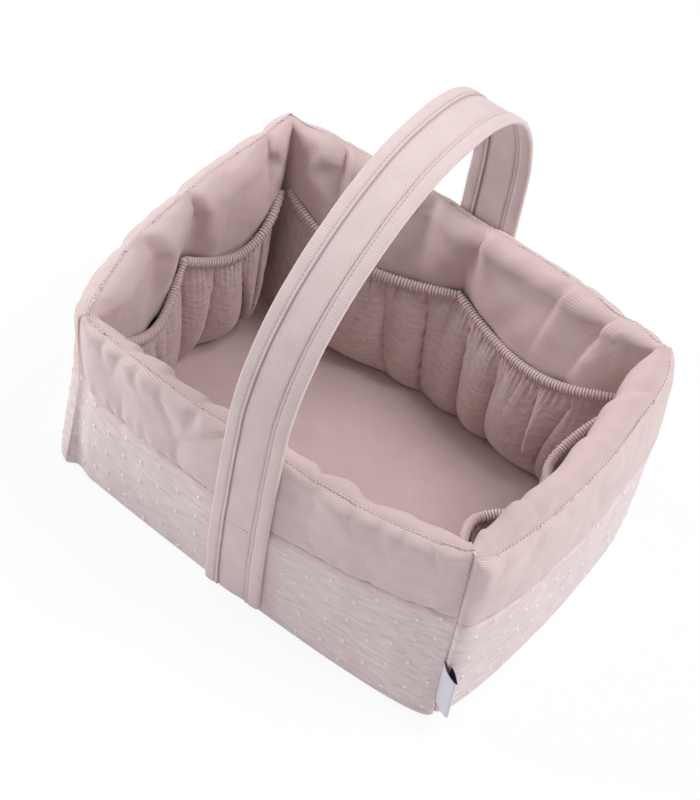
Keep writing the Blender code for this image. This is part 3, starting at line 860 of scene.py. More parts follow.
@dataclass(frozen=True)
class ClothRelaxing:
    """A cloth simulation that lets fabric cut too long buckle between its lines of stitching."""

    spare_length: float = 0.05
    fill: float = 0.8
    bending: float = 0.8
    stretch: float = 20.0
    gravity: float = 0.0
    most: float = 0.009
    frames: int = 22
    enlarged: float = 10.0
    quality: int = 6
    mass: float = 0.2
    air_damping: float = 2.0
    damping: float = 8.0
    bending_damping: float = 1.0

    def relax(self, name: str, points: np.ndarray, held: np.ndarray,
              cut: Optional[np.ndarray] = None) -> np.ndarray:
        """Simulates a grid of cloth and gives how far each of its points moved.

        Args:
            name: A name for the passing object.
            points: Places as rows, columns and X, Y, Z.
            held: From 0, free, to 1, sewn down, for each place.
            cut: The cloth's flat size before it is sewn, as places, where it isn't cut to fit.

        Returns:
            The moves, none longer than the cap.
        """
        mesh, cells = flat_grid(*points.shape[:2])
        rows, columns = cells.T
        start = points[rows, columns]
        data = mesh_data(name, mesh)
        data.vertices.foreach_set("co", (start * self.enlarged).ravel())
        item = add_object(name, data)
        group = item.vertex_groups.new(name="held")
        weights = held[rows, columns]
        for weight in np.unique(weights[weights > 0]):
            group.add(np.flatnonzero(weights == weight).tolist(), float(weight), "REPLACE")
        modifier = item.modifiers.new("cloth", "CLOTH")
        cloth = modifier.settings
        if cut is not None:
            item.shape_key_add(name="sewn")
            key = item.shape_key_add(name="cut")
            key.data.foreach_set("co", (cut[rows, columns] * self.enlarged).ravel())
            cloth.rest_shape_key = key
        cloth.quality, cloth.mass, cloth.air_damping = self.quality, self.mass, self.air_damping
        for strain in ("tension", "compression", "shear"):
            setattr(cloth, f"{strain}_stiffness", self.stretch)
            setattr(cloth, f"{strain}_damping", self.damping)
        cloth.bending_stiffness, cloth.bending_damping = self.bending, self.bending_damping
        cloth.vertex_group_mass = "held"
        cloth.shrink_min = cloth.shrink_max = -self.spare_length
        cloth.use_pressure = True
        cloth.uniform_pressure_force = self.fill
        cloth.effector_weights.gravity = self.gravity
        modifier.collision_settings.use_collision = False
        modifier.point_cache.frame_start = 1
        modifier.point_cache.frame_end = self.frames
        for number in range(1, self.frames + 1):
            bpy.context.scene.frame_set(number)
        relaxed = item.evaluated_get(bpy.context.evaluated_depsgraph_get()).data
        places = np.empty(len(relaxed.vertices) * 3)
        relaxed.vertices.foreach_get("co", places)
        moved = np.zeros_like(points)
        moved[rows, columns] = places.reshape(-1, 3) / self.enlarged - start
        bpy.data.objects.remove(item, do_unlink=True)
        bpy.data.meshes.remove(data)
        bpy.context.scene.frame_set(1)
        length = np.linalg.norm(moved, axis=2, keepdims=True)
        LOG.info("%s relaxed: moved up to %.1f mm", name, length.max() * 1e3)
        capped = self.most * np.tanh(length / self.most)
        return moved * np.minimum(1, capped / np.maximum(length, TINY))


@dataclass
class PaddedWall:
    """A padded wall: a muslin panel, a twill band and a twill lining, with a stitched rim."""

    line: WallLine
    seed: int = 1
    spacing: float = 0.0016
    station_draw: float = 0.12
    thickness: float = 0.0012
    swelling: float = 0.75
    band_height: float = 0.062
    lining_height: float = 0.155
    lining_end: float = 0.004
    fold_height: float = 0.15
    band_puckers: Puckers = Puckers(11, 0.020, 0.0034, 0.022, 0.0042, 0.5)
    seam_puckers: Puckers = Puckers(12, 0.024, 0.0012, 0.014, 0.0034, 0.4)
    lining_puckers: Puckers = Puckers(13, 0.024, 0.0024, 0.022, 0.0044, 0.40)
    tuck_width: float = 0.0070
    tuck_fade: float = 0.090
    tuck_share_in_band: float = 0.30
    corner_calm: float = 0.016
    stitch_calm: float = 0.006
    lining_calm: float = 0.007
    stitch_dip: float = 0.0002
    stitch_dip_width: float = 0.0016
    seam_dip: float = 0.0021
    seam_dip_width: float = 0.0017
    puff: float = 0.0012
    puff_width: float = 0.028
    band_crown: float = 0.0009
    ripple: float = 0.00028
    ripple_pitch: float = 0.0042
    ripple_fade: float = 0.018
    lip_width: float = 0.014
    relaxing: ClothRelaxing = ClothRelaxing()
    band_share: float = 0.32
    lining_share: float = 0.4
    mean_reach: int = 9
    under_strap: tuple[float, float] = (0.025, 0.034)
    rim_stitch: tuple[float, float, float] = (0.0033, 0.0022, 0.00042)
    rim_stitch_lift: float = 0.0011
    rim_stitch_skip: int = 6

    def section(self) -> dict[str, np.ndarray]:
        """The wall's section at every station, before any folds.

        Returns:
            Arrays of station, depth and height, and the number of the cloth in each row.
        """
        line = self.line
        columns = 2 * round(float(line.run(line.seam)) / self.spacing)
        station = np.linspace(-1, 1, columns + 1)
        # Stations draw together towards the corners, where the wall curves most
        station = (station + self.station_draw * np.sin(math.pi * station))[None, :]
        foot, seam = line.foot_height(station), line.seam_height(station)
        crest = line.crest_centre(station)
        half = line.half_thickness(station)
        middle = half - line.swell(station, crest)
        depths, heights, cloths = [], [], []

        def rows(low: np.ndarray, high: np.ndarray, count: int, depth_of: Callable,
                 cloth: int) -> None:
            for share in np.linspace(0, 1, count):
                heights.append(low + (high - low) * share)
                depths.append(depth_of(station, heights[-1]))
                cloths.append(cloth)

        def arc(first: float, last: float, count: int, cloth: int) -> None:
            for turn in np.linspace(first, last, count):
                depths.append(middle - half * math.cos(math.pi * turn))
                heights.append(crest + half * math.sin(math.pi * turn))
                cloths.append(cloth)

        def outer(station: np.ndarray, height: np.ndarray) -> np.ndarray:
            return line.outer_depth(station, height) + line.corner_draw(station, height)

        def inner(station: np.ndarray, height: np.ndarray) -> np.ndarray:
            return line.inner_depth(station, height) + line.overhang(station, height)

        arc_rows = round(math.pi * line.thickness_at_rim / 2 / self.spacing)
        outer_rows = max(4, round(arc_rows * line.stitch_turn))
        lining_rows = round(self.lining_height / self.spacing)
        rows(foot, seam, round(line.seam / self.spacing), outer, 0)
        rows(seam, crest, round(self.band_height / self.spacing), outer, 1)
        arc(line.stitch_turn / outer_rows, line.stitch_turn, outer_rows, 1)
        arc(line.stitch_turn, 1, arc_rows - outer_rows + 1, 2)
        rows(crest, foot + self.lining_end, lining_rows, inner, 2)
        del depths[-lining_rows], heights[-lining_rows], cloths[-lining_rows]
        height = np.concatenate(heights)
        return {
            "station": np.broadcast_to(station, height.shape),
            "depth": np.concatenate(depths),
            "height": height,
            "cloth": np.array(cloths),
        }

    def relief(self, flat: dict[str, np.ndarray], arc: np.ndarray, along: np.ndarray) -> np.ndarray:
        """Height of the folds, seams and pillows over the plain section.

        Args:
            flat: The section from section().
            arc: Length up the section from its foot.
            along: Length along the wall from its middle.

        Returns:
            One height for each point, outwards from the padding.
        """
        line, cloth, seed = self.line, flat["cloth"][:, None], self.seed * 31
        half_run = float(line.run(self.fold_height))
        from_stitch = np.abs(arc - arc[np.argmax(flat["cloth"] == 2)][None, :])
        from_seam = np.abs(arc - arc[np.argmax(flat["cloth"] == 1)][None, :])
        to_corner = (1 - np.abs(flat["station"])) * half_run
        off_stitch = 1 - bell(from_stitch, self.stitch_calm)
        slow = Waves(seed + 1, 0.055).at(along, arc)
        fine = Waves(seed + 2, 0.021).at(along, arc)
        tucks = Puckers(
            seed + 5, 0.058, line.tuck_depth, self.tuck_fade, self.tuck_width,
            slant=0.06, uneven=0.30, starts=line.tucks, one_sided=-0.5)
        tucks = tucks.at(along, from_stitch, half_run)

        panel = 0.0005 * slow + 0.00012 * fine
        panel = panel + 0.5 * self.seam_puckers.at(along, from_seam + 0.003, half_run)
        stray = 0.8 * Waves(seed + 4, 0.03).at(along, arc)
        ripple = np.sin(2 * math.pi * arc / self.ripple_pitch + stray)
        panel = panel + self.ripple * ripple * bell(to_corner, self.ripple_fade, 1)

        up_band = np.clip(from_seam / (from_seam + from_stitch), 0, 1)
        puckers = line.pucker_shares[0] * self.band_puckers.at(along, from_stitch, half_run)
        band = self.band_crown * np.sin(math.pi * up_band) + puckers * off_stitch
        band = band + self.tuck_share_in_band * tucks * bell(from_stitch, 0.022, 1) * off_stitch
        band = band + self.seam_puckers.at(along, from_seam, half_run)
        band = band + 0.0007 * slow + 0.0002 * fine

        puckers = line.pucker_shares[1] * self.lining_puckers.at(along, from_stitch, half_run)
        near_lip = line.near_lip(flat["station"], flat["height"], self.lip_width)
        lining = (puckers + tucks) * (1 - bell(from_stitch, self.lining_calm)) * (1 - 0.6 * near_lip)
        puff = self.puff * (1 - bell(from_stitch, self.stitch_calm, 1.5))
        lining = lining + puff * bell(from_stitch, self.puff_width, 1.5)
        lining = lining + 0.0012 * slow + 0.0003 * fine
        lining = lining * smooth((flat["height"] - line.floor - 0.004) / 0.02)

        folds = np.where(cloth == 0, panel, np.where(cloth == 1, band, lining))
        folds = folds * smooth(to_corner / self.corner_calm)
        folds = folds * np.where(cloth == 0, smooth(flat["height"] / 0.012), 1.0)
        seam_dip = -self.seam_dip * bell(from_seam, self.seam_dip_width)
        stitch_dip = -self.stitch_dip * bell(from_stitch, self.stitch_dip_width)
        return folds + stitch_dip + np.where(cloth < 2, seam_dip, 0)

    def surface(self) -> tuple[np.ndarray, np.ndarray, np.ndarray]:
        """The wall's finished surface.

        Returns:
            Places, the cloth's own coordinates, and the number of the cloth in each row.
        """
        flat, line = self.section(), self.line
        plain = line.place(flat["station"], flat["depth"], flat["height"])
        arc = arc_length(plain, 0)
        along = flat["station"] * line.run(flat["height"])
        depth_step, height_step = (np.gradient(flat[key], axis=0) for key in ("depth", "height"))
        size = np.hypot(depth_step, height_step)
        relief = self.relief(flat, arc, along)
        depth = flat["depth"] - height_step / size * relief
        height = np.maximum(flat["height"] + depth_step / size * relief, line.foot)
        points = line.place(flat["station"], depth, height)
        points = points + self.billow(points, flat["cloth"])
        return points, np.stack([along, arc], axis=2), flat["cloth"]

    def billow(self, points: np.ndarray, cloth: np.ndarray) -> np.ndarray:
        """Lets the band and the lining buckle between their seams, by cloth simulation.

        Args:
            points: The wall's places.
            cloth: The number of the cloth in each row.

        Returns:
            The moves of all the wall's places.
        """
        line, run = self.line, float(self.line.run(self.fold_height))
        seam, stitch = int(np.argmax(cloth == 1)), int(np.argmax(cloth == 2))
        last = len(cloth) - 1
        rows = np.unique([*range(seam, stitch, 2), *range(stitch, last, 2), last])
        coarse = points[rows][:, ::2]
        held = np.zeros(coarse.shape[:2])
        held[:, [0, -1]] = 1
        held[np.isin(rows, (seam, stitch, last))] = 1
        moved = self.relaxing.relax(f"{line.name}_wall", coarse, held)
        # The slow part of the moves would only fatten the wall, so the buckles alone are kept
        reach = self.mean_reach
        padded = np.pad(moved, ((0, 0), (reach, reach), (0, 0)), mode="edge")
        total = np.cumsum(np.pad(padded, ((0, 0), (1, 0), (0, 0))), axis=1)
        moved = moved - (total[:, 2 * reach + 1:] - total[:, :-2 * reach - 1]) / (2 * reach + 1)
        along = np.linspace(-1, 1, coarse.shape[1]) * run
        on_band = (rows < stitch)[:, None]
        keep = np.where(on_band, self.band_share * line.pucker_shares[0],
                        self.lining_share * line.pucker_shares[1])
        keep = keep * smooth((run - np.abs(along)) / 0.022)[None, :]
        if line.is_long:
            strap_edge, free_edge = self.under_strap
            beside = smooth((np.abs(along) - strap_edge) / (free_edge - strap_edge))[None, :]
            keep = keep * np.where(on_band & (np.abs(along) < free_edge)[None, :], beside, 1)
        up = arc_length(coarse, 0)
        near_lip = line.near_lip(along[None, :] / run, coarse[..., 2], 0.016)
        near_lip = near_lip * (rows > stitch)[:, None]
        keep = keep * smooth(np.abs(up - up[rows == stitch]) / 0.012) * (1 - 0.85 * near_lip)
        moved = moved * keep[..., None]
        rows_at = np.interp(np.arange(seam, last + 1), rows, np.arange(len(rows)))
        fine = np.zeros_like(points)
        fine[seam:] = spread(spread(moved, rows_at, 0), np.arange(points.shape[1]) / 2, 1)
        return fine

    def build(self) -> list[ClothPiece]:
        """Builds the muslin panel, the band and the lining."""
        points, uv, cloth = self.surface()
        name = self.line.name
        first_band, first_lining = int(np.argmax(cloth == 1)), int(np.argmax(cloth == 2))
        panel, band = slice(0, first_band + 1), slice(first_band, first_lining + 1)
        band_twill = LONG_BAND_TWILL if self.line.is_long else SHORT_BAND_TWILL
        lining, lining_twill = slice(first_lining, None), LINING_TWILL[self.line.facing]
        parts = (
            ("muslin_panel", panel, MUSLIN, Slot.MUSLIN, ("lower_panel",)),
            ("twill_band", band, band_twill, Slot.TWILL, ("upper_band",)),
            ("twill_lining", lining, lining_twill, Slot.TWILL, ("lining", "wall_padding")),
        )
        pieces = []
        for part, rows, finish, slot, nodes in parts:
            item = new_object(f"{name}_{part}", grid_mesh(points[rows], uv[rows]), finish)
            thicken(item, self.thickness)
            pieces.append(ClothPiece(item, [f"{name}_{node}" for node in nodes], slot))
        rim = points[first_lining][self.rim_stitch_skip:-self.rim_stitch_skip]
        rim = rim + UP * self.rim_stitch_lift
        pieces.append(sew(f"{name}_rim_topstitch", rim, *self.rim_stitch, THREAD))
        tufts = WovenTufts(self.seed + 90)
        pieces.append(tufts.scatter(f"{name}_panel_tufts", points[panel], uv[panel], TUFT))
        return pieces


def thicken(item: bpy.types.Object, thickness: float,
            crisp_angle: float = math.radians(62)) -> None:
    """Gives a cloth its thickness, away from its outer face, as a closed shell."""
    modifier = item.modifiers.new("cloth thickness", "SOLIDIFY")
    modifier.thickness = thickness
    modifier.offset = -1
    modifier.use_even_offset = False
    flat, shown = item.data, item.evaluated_get(bpy.context.evaluated_depsgraph_get())
    item.data = bpy.data.meshes.new_from_object(shown)
    item.modifiers.clear()
    bpy.data.meshes.remove(flat)
    item.data.name = item.name
    # The cut edges stay crisp, so that no shadow is smeared over the seams
    item.data.set_sharp_from_angle(angle=crisp_angle)


def thread_stitch(mesh: bmesh.types.BMesh, start: Vector, end: Vector, radius: float) -> None:
    """Adds one rounded stitch to a mesh.

    Args:
        mesh: The mesh that the stitch joins.
        start: One end of the stitch.
        end: Its other end.
        radius: Half its thickness.
    """
    middle, reach = (start + end) / 2, end - start
    turn = Vector((0, 0, 1)).rotation_difference(reach).to_matrix().to_4x4()
    scale = Matrix.Diagonal((radius, radius, reach.length / 2, 1))
    place = Matrix.Translation(middle) @ turn @ scale
    bmesh.ops.create_uvsphere(mesh, u_segments=6, v_segments=4, radius=1, matrix=place)


def sew(name: str, line: np.ndarray, pitch: float, length: float, radius: float,
        finish: Finish) -> ClothPiece:
    """Sews a dashed line of stitches.

    Args:
        name: The object's name.
        line: Places along the seam.
        pitch: Distance from stitch to stitch.
        length: Length of the thread that shows.
        radius: Half its thickness.
        finish: The thread's finish.

    Returns:
        The piece with all the stitches.
    """
    steps = chain_length(line)

    def at(distance: float) -> Vector:
        return Vector([float(np.interp(distance, steps, line[:, axis])) for axis in range(3)])

    mesh = bmesh.new()
    for index in range(int(steps[-1] / pitch)):
        thread_stitch(mesh, at(index * pitch), at(index * pitch + length), radius)
    return ClothPiece(new_object(name, mesh, finish))


@dataclass
class WovenTufts:
    """Small woven rings on the muslin, in columns, with every other one half a step up."""

    seed: int
    column: float = 0.0165
    row: float = 0.0215
    radius: float = 0.0018
    height: float = 0.0008
    margin: float = 0.005
    stray: float = 0.001
    snap: float = 0.0015
    sunken: float = 0.15

    def scatter(self, name: str, points: np.ndarray, uv: np.ndarray, finish: Finish) -> ClothPiece:
        """Sets the tufts onto a piece of cloth.

        Args:
            name: The name of the piece.
            points: The cloth's places, as rows and columns.
            uv: The cloth's own coordinates in metres.
            finish: The thread's finish.

        Returns:
            The piece with all the tufts.
        """
        rng = np.random.default_rng(self.seed)
        across = np.gradient(points, axis=1)
        normals = unit(np.cross(across, np.gradient(points, axis=0)))
        low, high = uv.min(axis=(0, 1)) + self.margin, uv.max(axis=(0, 1)) - self.margin
        mesh = bmesh.new()
        for number in range(int(low[0] // self.column), int(high[0] // self.column) + 2):
            for step in range(int(low[1] // self.row), int(high[1] // self.row) + 2):
                spot = np.array((number * self.column, (step + 0.5 * (number % 2)) * self.row))
                spot = spot + rng.uniform(-self.stray, self.stray, 2)
                away = np.linalg.norm(uv - spot, axis=2)
                nearest = np.unravel_index(int(away.argmin()), away.shape)
                if away[nearest] < self.snap and (spot > low).all() and (spot < high).all():
                    self.tuft(mesh, *[Vector(grid[nearest]) for grid in (points, normals, across)])
        return ClothPiece(new_object(name, mesh, finish))

    def tuft(self, mesh: bmesh.types.BMesh, place: Vector, normal: Vector, across: Vector) -> None:
        """Adds one low ring with a sunken middle."""
        side = across.normalized()
        turn = Matrix((side, normal.cross(side), normal)).transposed().to_4x4()
        made = bmesh.ops.create_uvsphere(mesh, u_segments=8, v_segments=6, radius=1)["verts"]
        for vertex in made:
            x, y, z = vertex.co
            z = self.sunken if z > 0.9 else z
            vertex.co = Vector((x * self.radius, y * self.radius, z * self.height))
        bmesh.ops.transform(mesh, matrix=Matrix.Translation(place) @ turn, verts=made)


@dataclass
class GatheredPocket:
    """One wall's pocket: muslin gathered onto a ruched elastic hem and tucked in at the floor."""

    line: WallLine
    seed: int
    spacing: float = 0.0022
    rows: int = 44
    read_height: float = 0.08
    cut_height: float = 0.120
    thickness: float = 0.0006
    floor_gap: float = 0.0008
    hem_drop: float = 0.0022
    end_gap: float = 0.0058
    lining_gap: float = 0.0012
    foot_gap: float = 0.001
    mouth_gap: float = 0.0016
    belly: float = 0.016
    belly_at_tack: float = 0.55
    lobe: float = 0.011
    lobe_power: float = 0.55
    lobe_middle: float = 0.62
    lobe_range: tuple[float, float] = (0.6, 1.3)
    lean_range: tuple[float, float] = (-0.024, 0.034)
    hang_power: float = 0.62
    lobe_hang_power: float = 0.6
    end_power: float = 14
    gather: float = 1.28
    drop: float = 1.12
    fine_run: float = 0.10
    ruffle: float = 0.0011
    ruffle_pitch: float = 0.0062
    ruffle_stray: float = 1.5
    ruffle_power: float = 12
    hem_radius: float = 0.0041
    hem_sides: int = 14
    hem_girth: float = 0.0036
    rib_pitch: float = 0.0023
    rib_steps: int = 5
    rib_slant: float = 0.9
    rib_stray: float = 0.7
    rib_power: float = 0.7
    rib_groove: float = 0.72
    rib_crest: float = 0.30
    flatness: float = 0.84
    tack_pinch: float = 0.30
    tack_reach: float = 0.010
    relaxing: ClothRelaxing = ClothRelaxing(
        spare_length=0.0, fill=-0.35, bending=0.35, stretch=12.0, gravity=0.25, most=0.016,
        frames=30)

    def gathered(self) -> tuple[np.ndarray, np.ndarray]:
        """The cloth as it is first gathered, with one lobe between each two valleys.

        Returns:
            Places, and the flat cut of the cloth in metres.
        """
        line, rng = self.line, np.random.default_rng(self.seed + 5)
        run = float(line.run(self.read_height))
        station = np.linspace(-1, 1, round(2 * run / self.spacing) + 1)[None, :]
        share = np.linspace(0, 1, self.rows + 1)[:, None]
        bottom, down = line.floor + self.floor_gap, 1 - share
        height = bottom + share * (line.hem_height(station) - self.hem_drop - bottom)
        along = station * run
        valleys = np.array((-run, *line.valleys, run))
        numbers = np.arange(len(valleys))
        lean = rng.uniform(*self.lean_range, len(valleys))
        lobes = np.array([np.interp(along[0], valleys + lean * float(low), numbers)
                          for low in down[:, 0]])
        crown = np.abs(np.sin(math.pi * lobes)) ** self.lobe_power - self.lobe_middle
        sizes = rng.uniform(*self.lobe_range, len(valleys))
        size = sizes[np.clip(lobes.astype(int), 0, numbers[-1])]
        hang = np.sin(math.pi * share ** self.hang_power)
        fine = Puckers(self.seed + 8, 0.011, 0.0042, 0.030, 0.0026, 0.15)
        fine = fine.at(along, down * self.fine_run, run) * smooth(down / self.fine_run)
        rise = self.foot_gap + (line.hem_standoff(station) - self.mouth_gap) * share
        fullness = self.belly_at_tack + (1 - self.belly_at_tack) * line.mouth_wave(station)
        standoff = rise + self.belly * fullness * hang
        standoff = standoff + self.lobe * size * crown * hang ** self.lobe_hang_power + fine
        standoff = np.maximum(standoff * (1 - np.abs(station) ** self.end_power), self.lining_gap)
        depth = line.inner_depth(station, height) + standoff
        setback = 1 - self.end_gap * share / run
        points = line.place(np.broadcast_to(station * setback, depth.shape), depth, height)
        up = arc_length(points, 0)
        flat = np.stack(np.broadcast_arrays(self.gather * along, self.drop * up), axis=2)
        return points, flat

    def surface(self) -> tuple[np.ndarray, np.ndarray]:
        """The gathered cloth, from the floor up to the hem, after it has settled.

        Returns:
            Places and the cloth's own coordinates.
        """
        line = self.line
        points, flat = self.gathered()
        held = np.zeros(points.shape[:2])
        held[[0, -1]] = held[:, [0, -1]] = 1
        cut = np.concatenate([flat, np.zeros_like(flat[..., :1])], axis=2)
        points = points + self.relaxing.relax(f"{line.name}_pocket", points, held, cut)
        for axis in (0, 1):
            last = points.shape[axis] - 1
            at = np.linspace(0, last, 2 * last + 1)
            points, flat = spread(points, at, axis), spread(flat, at, axis)
        height = np.maximum(points[..., 2], line.floor + self.floor_gap)
        depth = line.reach(height) - points @ line.outward
        station = (points @ line.along) / (line.run(height) - depth)
        share = np.linspace(0, 1, points.shape[0])[:, None]
        across = flat[..., 0]
        stray = self.ruffle_stray * Waves(self.seed + 6, 0.04).at(across, 0 * across)
        ruffle = self.ruffle * np.sin(2 * math.pi * across / self.ruffle_pitch + stray)
        ruffle = ruffle * bell(1 - share, 0.10, 1.2) * smooth(share / 0.2)
        depth = depth + ruffle * (1 - np.abs(station) ** self.ruffle_power)
        depth = np.maximum(depth, line.inner_depth(station, height) + self.lining_gap)
        return line.place(station, depth, height), flat

    def hem(self) -> tuple[np.ndarray, np.ndarray]:
        """The ruched elastic hem, a tube with a slanting gather every few millimetres.

        Returns:
            Places round and along the hem, and the cloth's own coordinates.
        """
        line, run = self.line, float(self.line.run(self.line.hem))
        count = round(2 * run / self.rib_pitch) * self.rib_steps
        station = np.linspace(-1, 1, count + 1)
        height = line.hem_height(station)
        depth = line.inner_depth(station, height) + line.hem_standoff(station)
        centre = line.place(station * (1 - self.end_gap / run), depth, height)
        tangent = unit(np.gradient(centre, axis=0))
        inward = unit(np.cross(tangent, UP))
        over = np.cross(inward, tangent)
        along = chain_length(centre)[None, :]
        turn = np.linspace(0, 2 * math.pi, self.hem_sides + 1)[:, None]
        phase = 2 * math.pi * along / self.rib_pitch + self.rib_slant * np.sin(turn)
        phase = phase + self.rib_stray * Waves(self.seed + 9, 0.02).at(along, 0 * along)
        pinch = 1 - self.tack_pinch * bell(station[None, :] * 2 * run, self.tack_reach)
        ribs = np.abs(np.sin(phase / 2)) ** self.rib_power
        radius = self.hem_radius * pinch * (self.rib_groove + self.rib_crest * ribs)
        width = radius * (self.flatness + 0.06 * np.sin(0.5 * phase))
        points = centre[None] + (np.cos(turn) * width)[..., None] * inward[None]
        points = points + (np.sin(turn) * radius)[..., None] * over[None]
        gathers = (phase / (2 * math.pi) + 0.25) * self.rib_pitch
        return points, np.stack(np.broadcast_arrays(gathers, turn * self.hem_girth), axis=2)

    def build(self) -> list[ClothPiece]:
        """Builds the pocket cloth and its hem."""
        name = self.line.name
        points, uv = self.surface()
        # The pocket's muslin takes its darker copy, painted shade
        cloth = new_object(f"{name}_gathered_pocket", grid_mesh(points, uv), SHADED_POCKET_MUSLIN)
        thicken(cloth, self.thickness)
        hem = new_object(f"{name}_ruched_hem", grid_mesh(*self.hem(), closed=True), HEM_MUSLIN)
        cut_length = 2 * self.gather * float(self.line.run(self.read_height))
        tufts = WovenTufts(self.seed + 90)
        return [
            ClothPiece(cloth, [f"{name}_pocket_cloth"], Slot.MUSLIN),
            ClothPiece(hem, [f"{name}_pocket_elastic"], Slot.MUSLIN),
            # The pocket's tufts take their darker copy, painted shade
            tufts.scatter(f"{name}_pocket_tufts", points[:, ::-1], uv[:, ::-1], SHADED_POCKET_TUFT),
        ]


@dataclass
class BasketFloor:
    """The smooth floor pad, the muslin under the base and the stiff board between them."""

    steps: int = 72
    half_size: tuple[float, float] = (0.160, 0.118)
    pad_thickness: float = 0.0045
    pad_overlap: float = 0.001
    crown: float = 0.0014
    crown_run: float = 0.25
    unevenness: float = 0.00035
    cover_thickness: float = 0.0012
    cover_inset: float = 0.0035
    cover_size: tuple[float, float] = (0.33, 0.245)
    corner_start: float = 0.80
    corner_run: float = 0.18

    def outline(self, inset: float, height: float, inner: bool) -> tuple[np.ndarray, np.ndarray]:
        """A grid over the base that follows the swelling walls.

        Args:
            inset: Distance kept from the walls.
            height: Height at which the walls are read.
            inner: Whether to stop at the linings instead of the outer faces.

        Returns:
            Places over the base and their X and Y as cloth coordinates.
        """
        share = np.linspace(-1, 1, self.steps + 1)
        x_share, y_share = np.meshgrid(share, share)
        edges = {}
        for line in WALL_LINES:
            level = np.full_like(share, height)
            depth = line.inner_depth(share, level) if inner else line.outer_depth(share, level)
            edges[line.facing] = float(line.reach(height)) - depth - inset
        right = np.interp(y_share, share, edges[Facing.RIGHT])
        back = np.interp(x_share, share, edges[Facing.BACK][::-1])
        x, y = x_share * right, y_share * back
        return np.stack([x, y, np.full_like(x, height)], axis=2), np.stack([x, y], axis=2)

    def build(self) -> list[ClothPiece]:
        """Builds the floor pad and the base cover, and dresses the board."""
        line = WALL_LINES[0]
        top, uv = self.outline(-self.pad_overlap, line.floor, True)
        edge = 1 - np.max(np.abs(top[..., :2]) / self.half_size, axis=2)
        slow = Waves(71, 0.09).at(top[..., 0], top[..., 1])
        top[..., 2] += self.crown * smooth(edge / self.crown_run) + self.unevenness * slow
        pad = new_object("twill_floor_pad", grid_mesh(top, uv), FLOOR_TWILL)
        thicken(pad, self.pad_thickness)
        under, under_uv = self.outline(self.cover_inset, 0.0, False)
        # The cover follows the drawn in corner over the lifted foot
        near = [smooth((-under[..., axis] / half - self.corner_start) / self.corner_run)
                for axis, half in enumerate(self.half_size)]
        under[..., :2] += line.foot_draw * (near[0] * near[1])[..., None]
        cover = new_object("muslin_base_cover", grid_mesh(under[::-1], under_uv[::-1]), MUSLIN)
        thicken(cover, self.cover_thickness)
        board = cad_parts["base_board"]
        board.data.materials.clear()
        board.data.materials.append(material_of(BOARD))
        return [
            ClothPiece(pad, ["floor_pad"], Slot.TWILL),
            ClothPiece(cover, ["base_cover"], Slot.MUSLIN),
        ]


